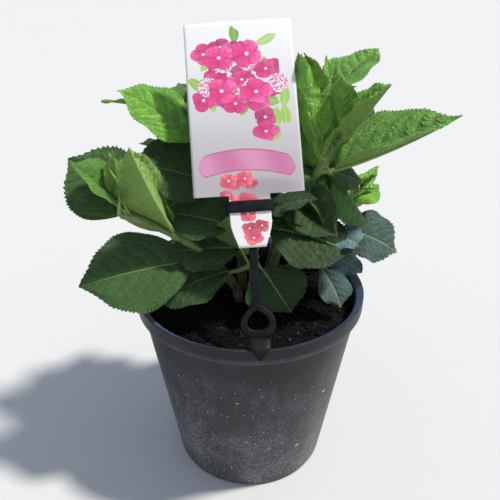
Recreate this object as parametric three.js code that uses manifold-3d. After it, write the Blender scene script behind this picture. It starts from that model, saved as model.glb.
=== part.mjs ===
// A young hydrangea in a round nursery pot, with a plant label clipped to the rim.
// Millimetres, +Z up. The origin is the middle of the pot's underside.
// Six woody-green shoots rise from the compost. Each one carries masses of large leaves.
import * as THREE from 'three';
import { mergeVertices } from 'three/addons/utils/BufferGeometryUtils.js';
import Module from 'manifold-3d';

const wasm = await Module();
wasm.setup();

// Pot
const potHeight = 174;
const baseRadius = 70;
const wallTopRadius = 95;
const rimRadius = 100;
const bandHeight = 15;
const wallThickness = 2.4;
const floorThickness = 4;
const potSegments = 42;

// Compost
const soilEdge = 153;
const soilMound = 4;
const gap = 0.35;

// Label
const labelFoot = [7.3, -93, potHeight];
const labelLean = 32.4;
const labelTwist = 4;
const cardWidth = 85;
const cardLow = 113.5;
const cardHigh = 252.5;
const cardThickness = 1;
const tailHalf = 15.8;
const tailTipHalf = 9.5;
const tailLow = 73;
const strapWidth = 6.5;
const strapThickness = 2;
const ringWidth = 27.5;
const ringLow = 5;
const ringHigh = 29;
const headLow = 100;
const headHigh = 109;
const clipWidth = 17;

// Leaves
const blade = 7;
const stalkRadius = 2.6;
const nodeRadius = 7.5;
const usualWidest = 0.44;
const around = 8;
const bigLeaf = 60;

const rad = THREE.MathUtils.degToRad;
const vec = (p) => new THREE.Vector3(...p);

// Shoots: foot at the compost, knee that the stem leans towards, top, and thickness there.
const shoots = {
  left: { foot: [-8, -2, 150], knee: [-16, -8, 212], top: [-100, -38, 256], thick: [4.2, 2.6] },
  right: { foot: [14, 6, 150], knee: [24, 6, 236], top: [76, 14, 300], thick: [4.6, 2.6] },
  low: { foot: [24, 12, 150], knee: [46, 16, 218], top: [86, 20, 244], thick: [3.8, 2.4] },
  centre: { foot: [2, -12, 150], knee: [2, -16, 214], top: [8, -18, 262], thick: [4, 2.6] },
  back: { foot: [-6, 16, 150], knee: [-10, 30, 236], top: [-30, 38, 312], thick: [4.4, 2.6] },
  rear: { foot: [12, 24, 150], knee: [30, 34, 244], top: [60, 30, 326], thick: [3.8, 2.3] },
};

// Leaf masses, from the lowest on each shoot to its tip. Each leaf is:
// place on the stem (0 foot, 1 top), compass turn, rise, length, width, droop, roll, fold, stalk,
// and, where it is not the usual one, the place along the blade where it is widest.
const masses = {
  left_lower_leaves: { shoot: 'left', leaves: [
    [0.48, 201, 3, 97, 80, 16, -26, 6, 12, 0.52],
    [0.73, 231, 60, 86, 68, -8, 80, 48, 6, 0.28],
    [0.66, 102, 32, 62, 54, 20, 0, 12, 12],
  ] },
  left_tip_leaves: { shoot: 'left', leaves: [
    [0.9, 167, 44, 62, 64, 12, -44, 18, 12],
    [0.93, 201, 52, 45, 44, 4, -25, 28, 20, 0.42],
    [0.95, 181, 76, 40, 28, -6, -10, 28, 14],
    [1, 300, 80, 38, 18, -6, 10, 28, 14],
  ] },
  right_lower_leaves: { shoot: 'right', leaves: [
    [0.6, 303, -8, 46, 60, 10, 38, 44, 4, 0.36],
    [0.6, 96, 22, 78, 60, 34, 0, 12, 14],
  ] },
  right_middle_leaves: { shoot: 'right', leaves: [
    [0.8, 140, 75, 94, 58, -4, 105, 18, 4, 0.3],
    [0.8, 351, 19, 104, 72, -13, 12, 37, 14, 0.42],
    [0.84, 66, 34, 82, 58, 24, 0, 14, 14],
    [0.85, 331, -41, 52, 52, 24, -10, -25, 13, 0.5],
  ] },
  right_tip_leaves: { shoot: 'right', leaves: [
    [0.97, 332, 54, 54, 52, 0, 12, 36, 8],
    [1, 231, 76, 44, 26, -5, 20, 30, 8],
    [1, 122, 62, 58, 22, -8, 0, 26, 10],
  ] },
  rear_leaves: { shoot: 'rear', leaves: [
    [0.72, 120, 30, 60, 50, 22, 0, 12, 12],
    [0.99, 36, 41, 63, 52, 14, 0, 20, 8, 0.36],
    [0.98, 215, 66, 40, 26, 0, 0, 26, 8],
    [0.7, 293, -16, 76, 27, 46, 0, 16, 4, 0.4],
  ] },
  low_shoot_lower_leaves: { shoot: 'low', leaves: [
    [0.7, 350, -10, 54, 50, 26, 34, 10, 18, 0.48],
    [0.58, 300, 18, 31, 26, 26, 24, 8, 34],
    [0.42, 303, -12, 46, 29, 48, 20, 14, 22, 0.66],
    [0.4, 348, -6, 36, 28, 34, 34, 10, 24],
    [0.62, 64, 18, 72, 54, 34, 0, 12, 14],
  ] },
  low_shoot_tip_leaves: { shoot: 'low', leaves: [
    [0.98, 50, 20, 52, 18, 0, 6, 20, 5, 0.34],
    [0.97, 20, 20, 30, 29, 4, 28, 12, 5, 0.5],
    [0.94, 118, 30, 44, 38, 16, -20, 10, 12],
  ] },
  centre_lower_leaves: { shoot: 'centre', leaves: [
    [0.48, 312, -36, 43, 54, 16, 24, 8, 13],
    [0.42, 197, -8, 70, 56, 22, -12, 10, 22],
    [0.36, 214, 66, 42, 44, 0, 30, 10, 20],
  ] },
  centre_upper_leaves: { shoot: 'centre', leaves: [
    [0.75, 349, -4, 72, 64, 20, 28, 8, 10],
    [0.69, 171, 15, 64, 56, 16, -24, 12, 20],
    [0.96, 84, 40, 62, 48, 20, 0, 14, 12],
  ] },
  back_hanging_leaves: { shoot: 'back', leaves: [
    [0.4, 62, 10, 84, 62, 44, 0, 10, 16],
    [0.42, 128, 14, 86, 62, 46, 0, 10, 16],
  ] },
  back_lower_leaves: { shoot: 'back', leaves: [
    [0.6, 203, 28, 70, 66, 14, -40, 14, 22],
    [0.68, 161, 22, 66, 36, 20, 30, 10, 22],
    [0.62, 30, 28, 78, 60, 26, 0, 12, 14],
    [0.74, 96, 28, 84, 62, 32, 0, 12, 14],
  ] },
  back_top_leaves: { shoot: 'back', leaves: [
    [0.8, 186, 37, 75, 54, 10, -34, 10, 26],
    [1, 171, 10, 86, 12, 10, 0, 55, 16, 0.4],
    [0.96, 62, 48, 66, 52, 18, 0, 16, 12],
    [0.96, 300, 62, 40, 34, 6, 0, 26, 10],
  ] },
};

// Closed mesh of a geometry: only positions, with the shared vertices joined.
function solid(geometry) {
  geometry.deleteAttribute('normal');
  geometry.deleteAttribute('uv');
  const merged = mergeVertices(geometry, 1e-4);
  return new wasm.Manifold(new wasm.Mesh({
    numProp: 3,
    vertProperties: new Float32Array(merged.attributes.position.array),
    triVerts: new Uint32Array(merged.index.array),
  }));
}

function geometryOf(body) {
  const mesh = body.getMesh();
  const geometry = new THREE.BufferGeometry();
  geometry.setAttribute('position', new THREE.BufferAttribute(new Float32Array(mesh.vertProperties), 3));
  geometry.setIndex(new THREE.BufferAttribute(new Uint32Array(mesh.triVerts), 1));
  geometry.computeVertexNormals();
  return geometry;
}

// The largest piece of a body that a cut may have parted.
function mainPiece(body) {
  const pieces = body.decompose();
  return pieces.reduce((best, piece) => (piece.volume() > best.volume() ? piece : best));
}

const root = new THREE.Group();

function addMesh(name, geometry, colour, roughness, metalness = 0, parent = root) {
  const material = new THREE.MeshStandardMaterial({ color: colour, roughness, metalness });
  const mesh = new THREE.Mesh(geometry, material);
  mesh.name = name;
  parent.add(mesh);
  return mesh;
}

// ---- Pot -------------------------------------------------------------------------------------

const turned = (points, segments) => {
  const geometry = new THREE.LatheGeometry(points.map((p) => new THREE.Vector2(...p)), segments);
  geometry.rotateX(Math.PI / 2);
  return geometry;
};

const bandLow = potHeight - bandHeight;
const innerRadius = (z) => {
  const low = baseRadius - wallThickness;
  const high = wallTopRadius - wallThickness;
  return low + (high - low) * (z / bandLow);
};
const potProfile = [
  [0, 0],
  [baseRadius - 5, 0],
  [baseRadius - 1.6, 1.4],
  [baseRadius, 5],
  [wallTopRadius, bandLow],
  [rimRadius - 1.4, bandLow + 0.4],
  [rimRadius - 0.6, bandLow + 1.4],
  [rimRadius, potHeight - 2.4],
  [rimRadius - 0.7, potHeight - 0.6],
  [rimRadius - 2, potHeight],
  [rimRadius - 3.4, potHeight - 0.7],
  [rimRadius - 4.2, potHeight - 3],
  [innerRadius(bandLow), bandLow - 2],
  [innerRadius(floorThickness), floorThickness],
  [0, floorThickness],
];
const potGeometry = turned(potProfile, potSegments);

// ---- Compost: it fills the pot to a hand's breadth under the rim and is uneven on top ------------

const soilSteps = 5;
function soilTop(x, y) {
  const reach = Math.hypot(x, y) / innerRadius(soilEdge);
  const lumps = 0.9 * Math.sin(x * 0.11 + 0.6) * Math.cos(y * 0.13) + 0.5 * Math.sin(x * 0.23 - y * 0.19);
  return soilEdge + soilMound * (1 - reach * reach) + lumps * Math.min(1, 4 * (1 - reach) + 0.1);
}
function soilGeometry(raise) {
  const low = floorThickness + gap;
  const points = [[0, low], [innerRadius(low) - gap, low]];
  const edge = innerRadius(soilEdge) - gap;
  for (let step = soilSteps; step >= 0; step -= 1) {
    points.push([edge * (step / soilSteps), soilEdge]);
  }
  const geometry = turned(points, 30);
  const position = geometry.attributes.position;
  for (let i = 0; i < position.count; i += 1) {
    if (position.getZ(i) > low + 1) {
      position.setZ(i, soilTop(position.getX(i), position.getY(i)) + raise);
    }
  }
  return geometry;
}
const soilBody = solid(soilGeometry(0));
const soilAbove = solid(soilGeometry(gap));

// ---- Limbs and leaves -------------------------------------------------------------------------

// A tapering limb along a curve: a closed cylinder bent onto it.
function limb(curve, radiusAt, steps, sides) {
  const geometry = new THREE.CylinderGeometry(1, 1, 1, sides, steps);
  geometry.translate(0, 0.5, 0);
  const position = geometry.attributes.position;
  const up = new THREE.Vector3(0.3, 1, 0.05).normalize();
  for (let i = 0; i < position.count; i += 1) {
    const t = position.getY(i);
    const centre = curve.getPoint(t);
    const ahead = curve.getTangent(t);
    const side = up.clone().cross(ahead).normalize();
    const front = ahead.clone().cross(side);
    centre.addScaledVector(side, -position.getX(i) * radiusAt(t));
    centre.addScaledVector(front, position.getZ(i) * radiusAt(t));
    position.setXYZ(i, centre.x, centre.y, centre.z);
  }
  return solid(geometry);
}

const stemCurve = ({ foot, knee, top }) => new THREE.QuadraticBezierCurve3(vec(foot), vec(knee), vec(top));

// Half width of a blade along it, 0 at both ends and 1 at the widest place.
function bladeWidth(u, widest) {
  const tipPower = 0.95;
  const basePower = tipPower * widest / (1 - widest);
  const shape = (s) => (s ** basePower) * ((1 - s) ** tipPower);
  return shape(u) / shape(widest);
}

// One leaf: a sphere drawn out along the stalk and the blade, with a lens-shaped section. Its two
// halves are folded up about the midrib, by a quarter more at the base and a quarter less at the tip.
function leaf(start, row, grow) {
  const [, turn, rise, length, width, droop, roll, fold, stalk, widest = usualWidest] = row;
  const along = length > bigLeaf ? 6 : 5;
  const geometry = new THREE.SphereGeometry(1, around, along);
  const position = geometry.attributes.position;
  const stalkShare = 2 / along;
  const direction = (angle) => {
    const flat = Math.cos(rad(angle));
    return new THREE.Vector3(flat * Math.cos(rad(turn)), flat * Math.sin(rad(turn)), Math.sin(rad(angle)));
  };
  const side = new THREE.Vector3(-Math.sin(rad(turn)), Math.cos(rad(turn)), 0);
  const midrib = (u) => {
    const point = start.clone();
    if (u < 0) {
      return point.addScaledVector(direction(rise), stalk * (1 + u));
    }
    point.addScaledVector(direction(rise), stalk);
    const bend = rad(droop) * u / 2;
    const chord = droop === 0 ? 1 : Math.sin(bend || 1e-9) / (bend || 1e-9);
    return point.addScaledVector(direction(rise - droop * u / 2), (length + grow) * u * chord);
  };
  for (let i = 0; i < position.count; i += 1) {
    const s = Math.acos(Math.min(1, Math.max(-1, position.getY(i)))) / Math.PI;
    const ring = Math.hypot(position.getX(i), position.getZ(i)) || 1;
    const across = position.getX(i) / ring;
    const over = position.getZ(i) / ring;
    const u = s < stalkShare ? s / stalkShare - 1 : (s - stalkShare) / (1 - stalkShare);
    const atEnd = s < 1e-6 || s > 1 - 1e-6;
    const wide = u < 0 ? 0 : bladeWidth(u, widest) * width / 2;
    const thin = stalkRadius + grow / 2;
    const half = atEnd ? 0 : Math.max(u < 0 ? thin : thin * (1 - u) * 0.9, wide) + grow / 2;
    const belly = u < 0 ? 0 : (blade / 2 - stalkRadius) * bladeWidth(u, widest);
    const thick = atEnd ? 0 : (thin + belly) * (1 - 0.45 * Math.max(0, u));
    const ahead = direction(u < 0 ? rise : rise - droop * u);
    const normal = ahead.clone().cross(side);
    const rolled = side.clone().applyAxisAngle(ahead, rad(roll));
    const face = normal.applyAxisAngle(ahead, rad(roll));
    const point = midrib(Math.min(u, 1));
    const folded = rad(fold * (1.25 - 0.5 * Math.max(0, u)));
    point.addScaledVector(rolled, across * half * Math.cos(folded));
    point.addScaledVector(face, Math.abs(across) * half * Math.sin(folded) + over * thick);
    position.setXYZ(i, point.x, point.y, point.z);
  }
  return solid(geometry);
}

// A leaf mass: the leaves of one stretch of a shoot and the swollen nodes that they grow from.
function leafMass(mass, grow) {
  const shoot = shoots[mass.shoot];
  const curve = stemCurve(shoot);
  const places = mass.leaves.map((row) => row[0]);
  const from = Math.min(...places) - 0.05;
  const to = Math.min(1, Math.max(...places) + 0.04);
  const low = curve.getPoint(from);
  const high = curve.getPoint(to).addScaledVector(curve.getTangent(to), to > 0.99 ? 6 : 0);
  const node = new THREE.QuadraticBezierCurve3(low, curve.getPoint((from + to) / 2), high);
  let body = limb(node, (t) => nodeRadius + grow / 2 - 1.5 * Math.abs(2 * t - 1), 2, 8);
  for (const row of mass.leaves) {
    body = body.add(leaf(curve.getPoint(row[0]), row, grow));
  }
  return body;
}

// ---- Label: holder and card, drawn flat, then leaned and turned at the rim ----------------------

const labelPlace = new THREE.Matrix4()
  .makeTranslation(...labelFoot)
  .multiply(new THREE.Matrix4().makeRotationX(rad(90 - labelLean)))
  .multiply(new THREE.Matrix4().makeRotationZ(rad(labelTwist)));

const flat = (shape, depth, back) => {
  const geometry = new THREE.ExtrudeGeometry(shape, { depth, bevelEnabled: false, curveSegments: 10 });
  geometry.translate(0, 0, back);
  return geometry;
};
const outline = (points) => new THREE.Shape(points.map((p) => new THREE.Vector2(...p)));

const cardShape = outline([
  [-tailTipHalf, tailLow], [tailTipHalf, tailLow], [tailHalf, tailLow + 18], [tailHalf, cardLow],
  [cardWidth / 2, cardLow], [cardWidth / 2, cardHigh], [-cardWidth / 2, cardHigh], [-cardWidth / 2, cardLow],
  [-tailHalf, cardLow], [-tailHalf, tailLow + 18],
]);

const strapBack = -cardThickness / 2 - gap - strapThickness;
const strap = new THREE.BoxGeometry(strapWidth, headHigh - ringHigh + 2, strapThickness);
strap.translate(0, (headHigh + ringHigh - 2) / 2, strapBack + strapThickness / 2);

const ringShape = new THREE.Shape();
ringShape.moveTo(-ringWidth / 2, ringLow);
ringShape.lineTo(ringWidth / 2, ringLow);
ringShape.bezierCurveTo(ringWidth / 2, ringLow + 14, 9, ringHigh - 2, strapWidth / 2, ringHigh + 1);
ringShape.lineTo(-strapWidth / 2, ringHigh + 1);
ringShape.bezierCurveTo(-9, ringHigh - 2, -ringWidth / 2, ringLow + 14, -ringWidth / 2, ringLow);
const ringHole = new THREE.Path();
ringHole.moveTo(-9.4, ringLow + 5.5);
ringHole.bezierCurveTo(-9.4, ringLow + 14, -5, ringHigh - 5, 0, ringHigh - 5);
ringHole.bezierCurveTo(5, ringHigh - 5, 9.4, ringLow + 14, 9.4, ringLow + 5.5);
ringHole.closePath();
ringShape.holes.push(ringHole);

const headShape = outline([
  [-tailHalf - 2.2, 2.4], [tailHalf + 2.2, 2.4], [tailHalf + 2.2, strapBack], [-tailHalf - 2.2, strapBack],
].reverse());
const slot = new THREE.Path([
  [-tailHalf - gap, 0.5 + gap], [tailHalf + gap, 0.5 + gap], [tailHalf + gap, -0.5 - gap],
  [-tailHalf - gap, -0.5 - gap],
].map((p) => new THREE.Vector2(...p)));
headShape.holes.push(slot);
const head = new THREE.ExtrudeGeometry(headShape, { depth: headHigh - headLow, bevelEnabled: false });
head.rotateX(Math.PI / 2);
head.translate(0, headHigh, 0);

const inPlace = (geometry) => solid(geometry.applyMatrix4(labelPlace));

// Clip: a tapering tongue that lies over the rim, with a short hook behind the lip.
const lip = potHeight + gap;
const rimFront = -rimRadius - gap;
const rimBack = gap - Math.sqrt((rimRadius - 4.2) ** 2 - (labelFoot[0] + clipWidth / 2) ** 2);
const clipSide = outline([
  [rimFront - 2, potHeight - 5], [rimFront - 0.2, potHeight - 6], [rimFront + 0.2, lip - 1.6],
  [rimFront + 1.6, lip + 0.2], [rimBack, lip + 0.2], [rimBack + 1.4, potHeight - 6],
  [rimBack + 3, potHeight - 6], [rimBack + 4.6, potHeight + 4.8], [rimBack + 2.4, potHeight + 6.6],
  [rimFront + 0.6, lip + 2.6], [rimFront - 1.8, lip + 0.2],
]);
const clipBar = new THREE.ExtrudeGeometry(clipSide, { depth: clipWidth, bevelEnabled: false });
clipBar.rotateY(Math.PI / 2);
clipBar.rotateX(Math.PI / 2);
clipBar.translate(labelFoot[0] - clipWidth / 2, 0, 0);
const clipFace = outline([
  [-clipWidth / 2, rimBack + 8], [clipWidth / 2, rimBack + 8], [clipWidth / 2, rimFront + 2.5],
  [1.5, rimFront - 3], [-1.5, rimFront - 3], [-clipWidth / 2, rimFront + 2.5],
].reverse());
const clipTaper = new THREE.ExtrudeGeometry(clipFace, { depth: 40, bevelEnabled: false });
clipTaper.translate(labelFoot[0], 0, potHeight - 20);

const holder = inPlace(strap)
  .add(inPlace(flat(ringShape, strapThickness + 1.2, strapBack)))
  .add(inPlace(head))
  .add(solid(clipBar).intersect(solid(clipTaper)));

// ---- Assembly -----------------------------------------------------------------------------------

addMesh('pot', potGeometry, 0x17181a, 0.55);
addMesh('compost', geometryOf(soilBody), 0x1d1712, 0.95);

const stems = {};
for (const [name, shoot] of Object.entries(shoots)) {
  const [thick, thin] = shoot.thick;
  const radiusAt = (grow) => (t) => thick + (thin - thick) * t + grow;
  const curve = stemCurve(shoot);
  const cut = limb(curve, radiusAt(0), 7, 8).subtract(soilAbove);
  stems[name] = { body: mainPiece(cut), around: limb(curve, radiusAt(gap), 7, 8) };
  addMesh(`${name}_stem`, geometryOf(stems[name].body), 0x5f7d3a, 0.6);
}

const potBody = solid(potGeometry.clone());
const cardAround = inPlace(flat(cardShape, cardThickness + 2 * gap, -cardThickness / 2 - gap));
const taken = [potBody, holder, cardAround, ...Object.values(stems).map((stem) => stem.around)];
for (const [name, mass] of Object.entries(masses)) {
  let body = leafMass(mass, 0).subtract(soilAbove);
  for (const other of taken) {
    body = body.subtract(other);
  }
  addMesh(name, geometryOf(mainPiece(body)), 0x3f7a33, 0.6);
  taken.push(leafMass(mass, 2 * gap).add(body));
}

addMesh('label_holder', geometryOf(holder), 0x1b1c1f, 0.45);
const labelLeaning = new THREE.Group();
labelLeaning.position.set(...labelFoot);
labelLeaning.rotation.x = rad(90 - labelLean);
const labelTurned = new THREE.Group();
labelTurned.rotation.z = rad(labelTwist);
labelLeaning.add(labelTurned);
root.add(labelLeaning);
addMesh('label_card', flat(cardShape, cardThickness, -cardThickness / 2), 0xf2eef0, 0.35, 0, labelTurned);

export default root;
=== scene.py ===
# A young hydrangea in a nursery pot with a plant label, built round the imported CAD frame.
# The tables are in millimetres and every mesh is written in metres.
import math
import bpy
import numpy as np
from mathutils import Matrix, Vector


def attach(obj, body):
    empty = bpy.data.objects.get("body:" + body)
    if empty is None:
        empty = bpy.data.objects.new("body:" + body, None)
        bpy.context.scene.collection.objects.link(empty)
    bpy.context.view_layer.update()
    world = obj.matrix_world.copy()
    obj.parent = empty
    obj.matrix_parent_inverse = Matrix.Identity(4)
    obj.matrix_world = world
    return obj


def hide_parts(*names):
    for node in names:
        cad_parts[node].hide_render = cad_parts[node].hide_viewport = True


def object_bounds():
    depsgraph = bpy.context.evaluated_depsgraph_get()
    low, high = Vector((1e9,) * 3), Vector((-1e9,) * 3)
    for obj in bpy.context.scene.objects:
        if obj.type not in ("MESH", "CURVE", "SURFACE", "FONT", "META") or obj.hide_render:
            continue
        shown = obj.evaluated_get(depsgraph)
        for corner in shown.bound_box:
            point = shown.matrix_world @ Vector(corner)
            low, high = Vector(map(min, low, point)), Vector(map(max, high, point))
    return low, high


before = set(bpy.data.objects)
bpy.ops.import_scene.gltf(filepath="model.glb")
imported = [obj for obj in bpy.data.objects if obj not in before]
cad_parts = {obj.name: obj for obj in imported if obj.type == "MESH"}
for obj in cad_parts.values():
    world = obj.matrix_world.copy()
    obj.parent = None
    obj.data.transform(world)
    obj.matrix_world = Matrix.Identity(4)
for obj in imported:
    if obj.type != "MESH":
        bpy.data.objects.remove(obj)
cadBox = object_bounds()
print("frame:", len(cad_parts), "solids")

mm = 0.001


# Vectors divided by their own length.
def unit(v):
    return v / np.maximum(np.linalg.norm(v, axis=-1, keepdims=True), 1e-12)


# A smooth step: 0 below low, 1 above high, and 3t^2 - 2t^3 between them.
def smooth(low, high, x):
    t = np.clip((x - low) / (high - low), 0, 1)
    return t * t * (3 - 2 * t)


# Points from their three coordinates, which are spread to one common grid.
def spreadPoints(x, y, z):
    return np.stack(np.broadcast_arrays(x, y, z), -1)


# The angles of evenly spaced steps once round a circle.
def roundTurn(steps):
    return np.arange(steps) * 2 * math.pi / steps


# |x|^p with the sign of x kept, which squares off a sine or a cosine.
def signedPower(x, power):
    return np.sign(x) * np.abs(x) ** power


# The unit vector of a compass turn (0 is +X, 90 is +Y) and a rise above the level, in degrees.
def direction(turn, rise):
    turn, rise = np.radians(turn), np.radians(rise)
    level = np.cos(rise)
    return spreadPoints(level * np.cos(turn), level * np.sin(turn), np.sin(rise))


# A new object with its data, put in the scene.
def addObject(name, data):
    added = bpy.data.objects.new(name, data)
    bpy.context.scene.collection.objects.link(added)
    return added


# Soft uneven relief: sines of seeded directions and lengths, each octave half as long and half as high.
def relief(p, size, seed, octaves=4):
    rng = np.random.default_rng(seed)
    total = np.zeros(p.shape[:-1])
    for octave in range(octaves):
        for _ in range(5):
            way = unit(rng.normal(size=3)) * (2 * math.pi / (size * 0.5 ** octave))
            total += 0.5 ** octave * np.sin(p @ way + rng.uniform(0, 6.28)) / 3
    return total


# Wraps a socket so that shader maths reads as an expression. node() adds any other node.
class Flow:
    def __init__(self, tree, socket=None):
        self.tree = tree
        self.socket = socket

    # settings are set first, then each input by name or number gets its value or its link
    def node(self, kind, settings=None, inputs=None, out=0):
        made = self.tree.nodes.new(kind)
        for key, value in (settings or {}).items():
            if key == "stops":
                ramp = made.color_ramp.elements
                while len(ramp) < len(value):
                    ramp.new(0.5)
                for element, (place, colour) in zip(ramp, value):
                    element.position = place
                    element.color = (*colour, 1)
            else:
                setattr(made, key, value)
        for key, value in (inputs or {}).items():
            if isinstance(value, Flow):
                self.tree.links.new(value.socket, made.inputs[key])
            else:
                made.inputs[key].default_value = value
        return Flow(self.tree, made.outputs[out])

    def maths(self, operation, *others):
        return self.node("ShaderNodeMath", {"operation": operation}, dict(enumerate(others)))

    def __add__(self, other):
        return self.maths("ADD", self, other)

    def __sub__(self, other):
        return self.maths("SUBTRACT", self, other)

    def __rsub__(self, other):
        return self.maths("SUBTRACT", other, self)

    def __mul__(self, other):
        return self.maths("MULTIPLY", self, other)

    def __truediv__(self, other):
        return self.maths("DIVIDE", self, other)

    def __pow__(self, other):
        return self.maths("POWER", self, other)

    __radd__ = __add__
    __rmul__ = __mul__

    def abs(self):
        return self.maths("ABSOLUTE", self)

    def fract(self):
        return self.maths("FRACT", self)

    def least(self, other):
        return self.maths("MINIMUM", self, other)

    def most(self, other):
        return self.maths("MAXIMUM", self, other)

    def sine(self):
        return self.maths("SINE", self)

    # 0 below low, 1 above high, smooth between; low may be the larger one
    def step(self, low, high):
        settings = {"interpolation_type": "SMOOTHSTEP"}
        inputs = {"Value": self, "From Min": low, "From Max": high}
        return self.node("ShaderNodeMapRange", settings, inputs)

    # a colour that goes from one to the other as this value goes from 0 to 1
    def mix(self, low, high, blend="MIX"):
        low = low if isinstance(low, Flow) else (*low, 1)
        high = high if isinstance(high, Flow) else (*high, 1)
        settings = {"data_type": "RGBA", "blend_type": blend}
        return self.node("ShaderNodeMix", settings, {0: self, 6: low, 7: high}, 2)

    def parts(self):
        split = self.node("ShaderNodeSeparateXYZ", None, {0: self})
        return [Flow(self.tree, output) for output in split.socket.node.outputs]

    def join(self, x, y, z):
        return self.node("ShaderNodeCombineXYZ", None, {0: x, 1: y, 2: z})

    # another output of the node that this value comes from
    def other(self, name):
        return Flow(self.tree, self.socket.node.outputs[name])

    def minus(self, vector):
        return self.node("ShaderNodeVectorMath", {"operation": "SUBTRACT"}, {0: self, 1: vector})

    def mark(self, name):
        return self.node("ShaderNodeAttribute", {"attribute_name": name}, None, 1)

    def place(self):
        return self.node("ShaderNodeTexCoord", None, None, 3)

    # the vector with its third part scaled, which draws a pattern out or presses it flat
    def stretch(self, vector, upright):
        return self.node("ShaderNodeMapping", None, {"Vector": vector, "Scale": (1, 1, upright)})

    def noise(self, vector, scale, detail=3, rough=0.55, distortion=0):
        inputs = {"Vector": vector, "Scale": scale, "Detail": detail, "Roughness": rough}
        return self.node("ShaderNodeTexNoise", None, {**inputs, "Distortion": distortion})

    # scattered cells: the distance to the middle of the nearest one, or to its edge
    def cells(self, vector, scale, randomness=1.0, dimensions="3D", feature="F1"):
        settings = {"feature": feature, "voronoi_dimensions": dimensions}
        inputs = {"Vector": vector, "Scale": scale, "Randomness": randomness}
        return self.node("ShaderNodeTexVoronoi", settings, inputs)

    def bump(self, height, distance, strength=1.0, under=None):
        inputs = {"Height": height, "Distance": distance, "Strength": strength}
        if under is not None:
            inputs["Normal"] = under
        return self.node("ShaderNodeBump", None, inputs)


# A material with one Principled surface. finish holds its sockets: numbers, colours or flows.
def makeMaterial(name, describe):
    material = bpy.data.materials.new(name)
    material.use_nodes = True
    tree = material.node_tree
    tree.nodes.clear()
    flow = Flow(tree)
    finish = describe(flow)
    shader = flow.node("ShaderNodeBsdfPrincipled", None, finish)
    output = tree.nodes.new("ShaderNodeOutputMaterial")
    tree.links.new(shader.socket, output.inputs["Surface"])
    return material


# Faces between the points of a grid, rows along and columns across. Closed columns wrap round.
# A capped grid has two more points after the last one, the middles of its first and last end.
def gridFaces(rows, cols, closed=False, capped=False):
    i, j = np.meshgrid(np.arange(rows - 1), np.arange(cols if closed else cols - 1), indexing="ij")
    corners = [(0, 0), (0, 1), (1, 1), (1, 0)]
    quads = np.stack([(i + a) * cols + (j + b) % cols for a, b in corners], -1).reshape(-1, 4)
    quadUv = [np.stack([(i + a + 1) / (rows + 1), (j + b) / cols], -1) for a, b in corners]
    quadUv = np.stack(quadUv, 2)
    faces = {"quads": quads, "quadUv": quadUv.reshape(-1, 4, 2)}
    if capped:
        j = np.arange(cols)
        k = (j + 1) % cols
        middle = 0 * j + rows * cols
        last = (rows - 1) * cols
        firstEnd = np.stack([k, j, middle], -1)
        lastEnd = np.stack([last + j, last + k, middle + 1], -1)
        faces["tris"] = np.vstack([firstEnd, lastEnd])
        low, high = 1 / (rows + 1), rows / (rows + 1)
        ends = [[(low, j + 1), (low, j), (0, j + 0.5)], [(high, j), (high, j + 1), (1, j + 0.5)]]
        faces["triUv"] = np.vstack([
            np.stack([np.stack([0 * j + along, across / cols], -1) for along, across in end], 1)
            for end in ends
        ])
    return faces


# A tube of round section along a path: each ring is the path's point + radius x (cos a side + sin a up).
# radii holds a radius for every point, or for every point and angle.
def tube(path, radii, sides=10):
    along = unit(np.gradient(path, axis=0))
    steady = np.eye(3)[np.argmin(np.abs(along.mean(0)))]
    side = unit(np.cross(steady, along))
    up = np.cross(along, side)
    turn = roundTurn(sides)[None, :, None]
    radii = np.broadcast_to(np.asarray(radii, float).reshape(len(path), -1), (len(path), sides))
    ring = side[:, None] * np.cos(turn) + up[:, None] * np.sin(turn)
    points = path[:, None] + ring * radii[:, :, None]
    startPole = path[0] - along[0] * radii[0].mean() * 0.4
    endPole = path[-1] + along[-1] * radii[-1].mean() * 0.6
    faces = gridFaces(len(path), sides, True, True)
    return dict(points=np.vstack([points.reshape(-1, 3), startPole, endPole]), **faces)


# A thin closed sheet from two grids of points, its front and its back, joined round the edge.
def closedSheet(front, back):
    rows, cols = front.shape[:2]
    face = gridFaces(rows, cols)
    count = rows * cols
    i, j = np.arange(rows), np.arange(cols)
    up, over = i * cols, (rows - 1) * cols + j[1:]
    down, home = i[::-1][1:] * cols + cols - 1, j[::-1][1:-1]
    loop = np.concatenate([up, over, down, home])
    after = np.roll(loop, -1)
    rim = np.stack([after, loop, loop + count, after + count], -1)
    step = np.arange(len(loop) + 1) / len(loop)
    rimUv = np.stack([step[1:], step[:-1], step[:-1], step[1:]], -1)
    rimUv = np.stack([rimUv, np.broadcast_to([0.96, 0.96, 0.985, 0.985], rimUv.shape)], -1)
    frontUv = face["quadUv"][:, ::-1] * [0.48, 0.94]
    backUv = face["quadUv"] * [0.48, 0.94] + [0.5, 0]
    return {
        "points": np.vstack([front.reshape(-1, 3), back.reshape(-1, 3)]),
        "quads": np.vstack([face["quads"][:, ::-1], face["quads"] + count, rim]),
        "quadUv": np.vstack([frontUv, backUv, rimUv]),
        "flat": np.arange(2 * len(face["quads"]) + len(rim)) >= 2 * len(face["quads"]),
    }


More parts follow.
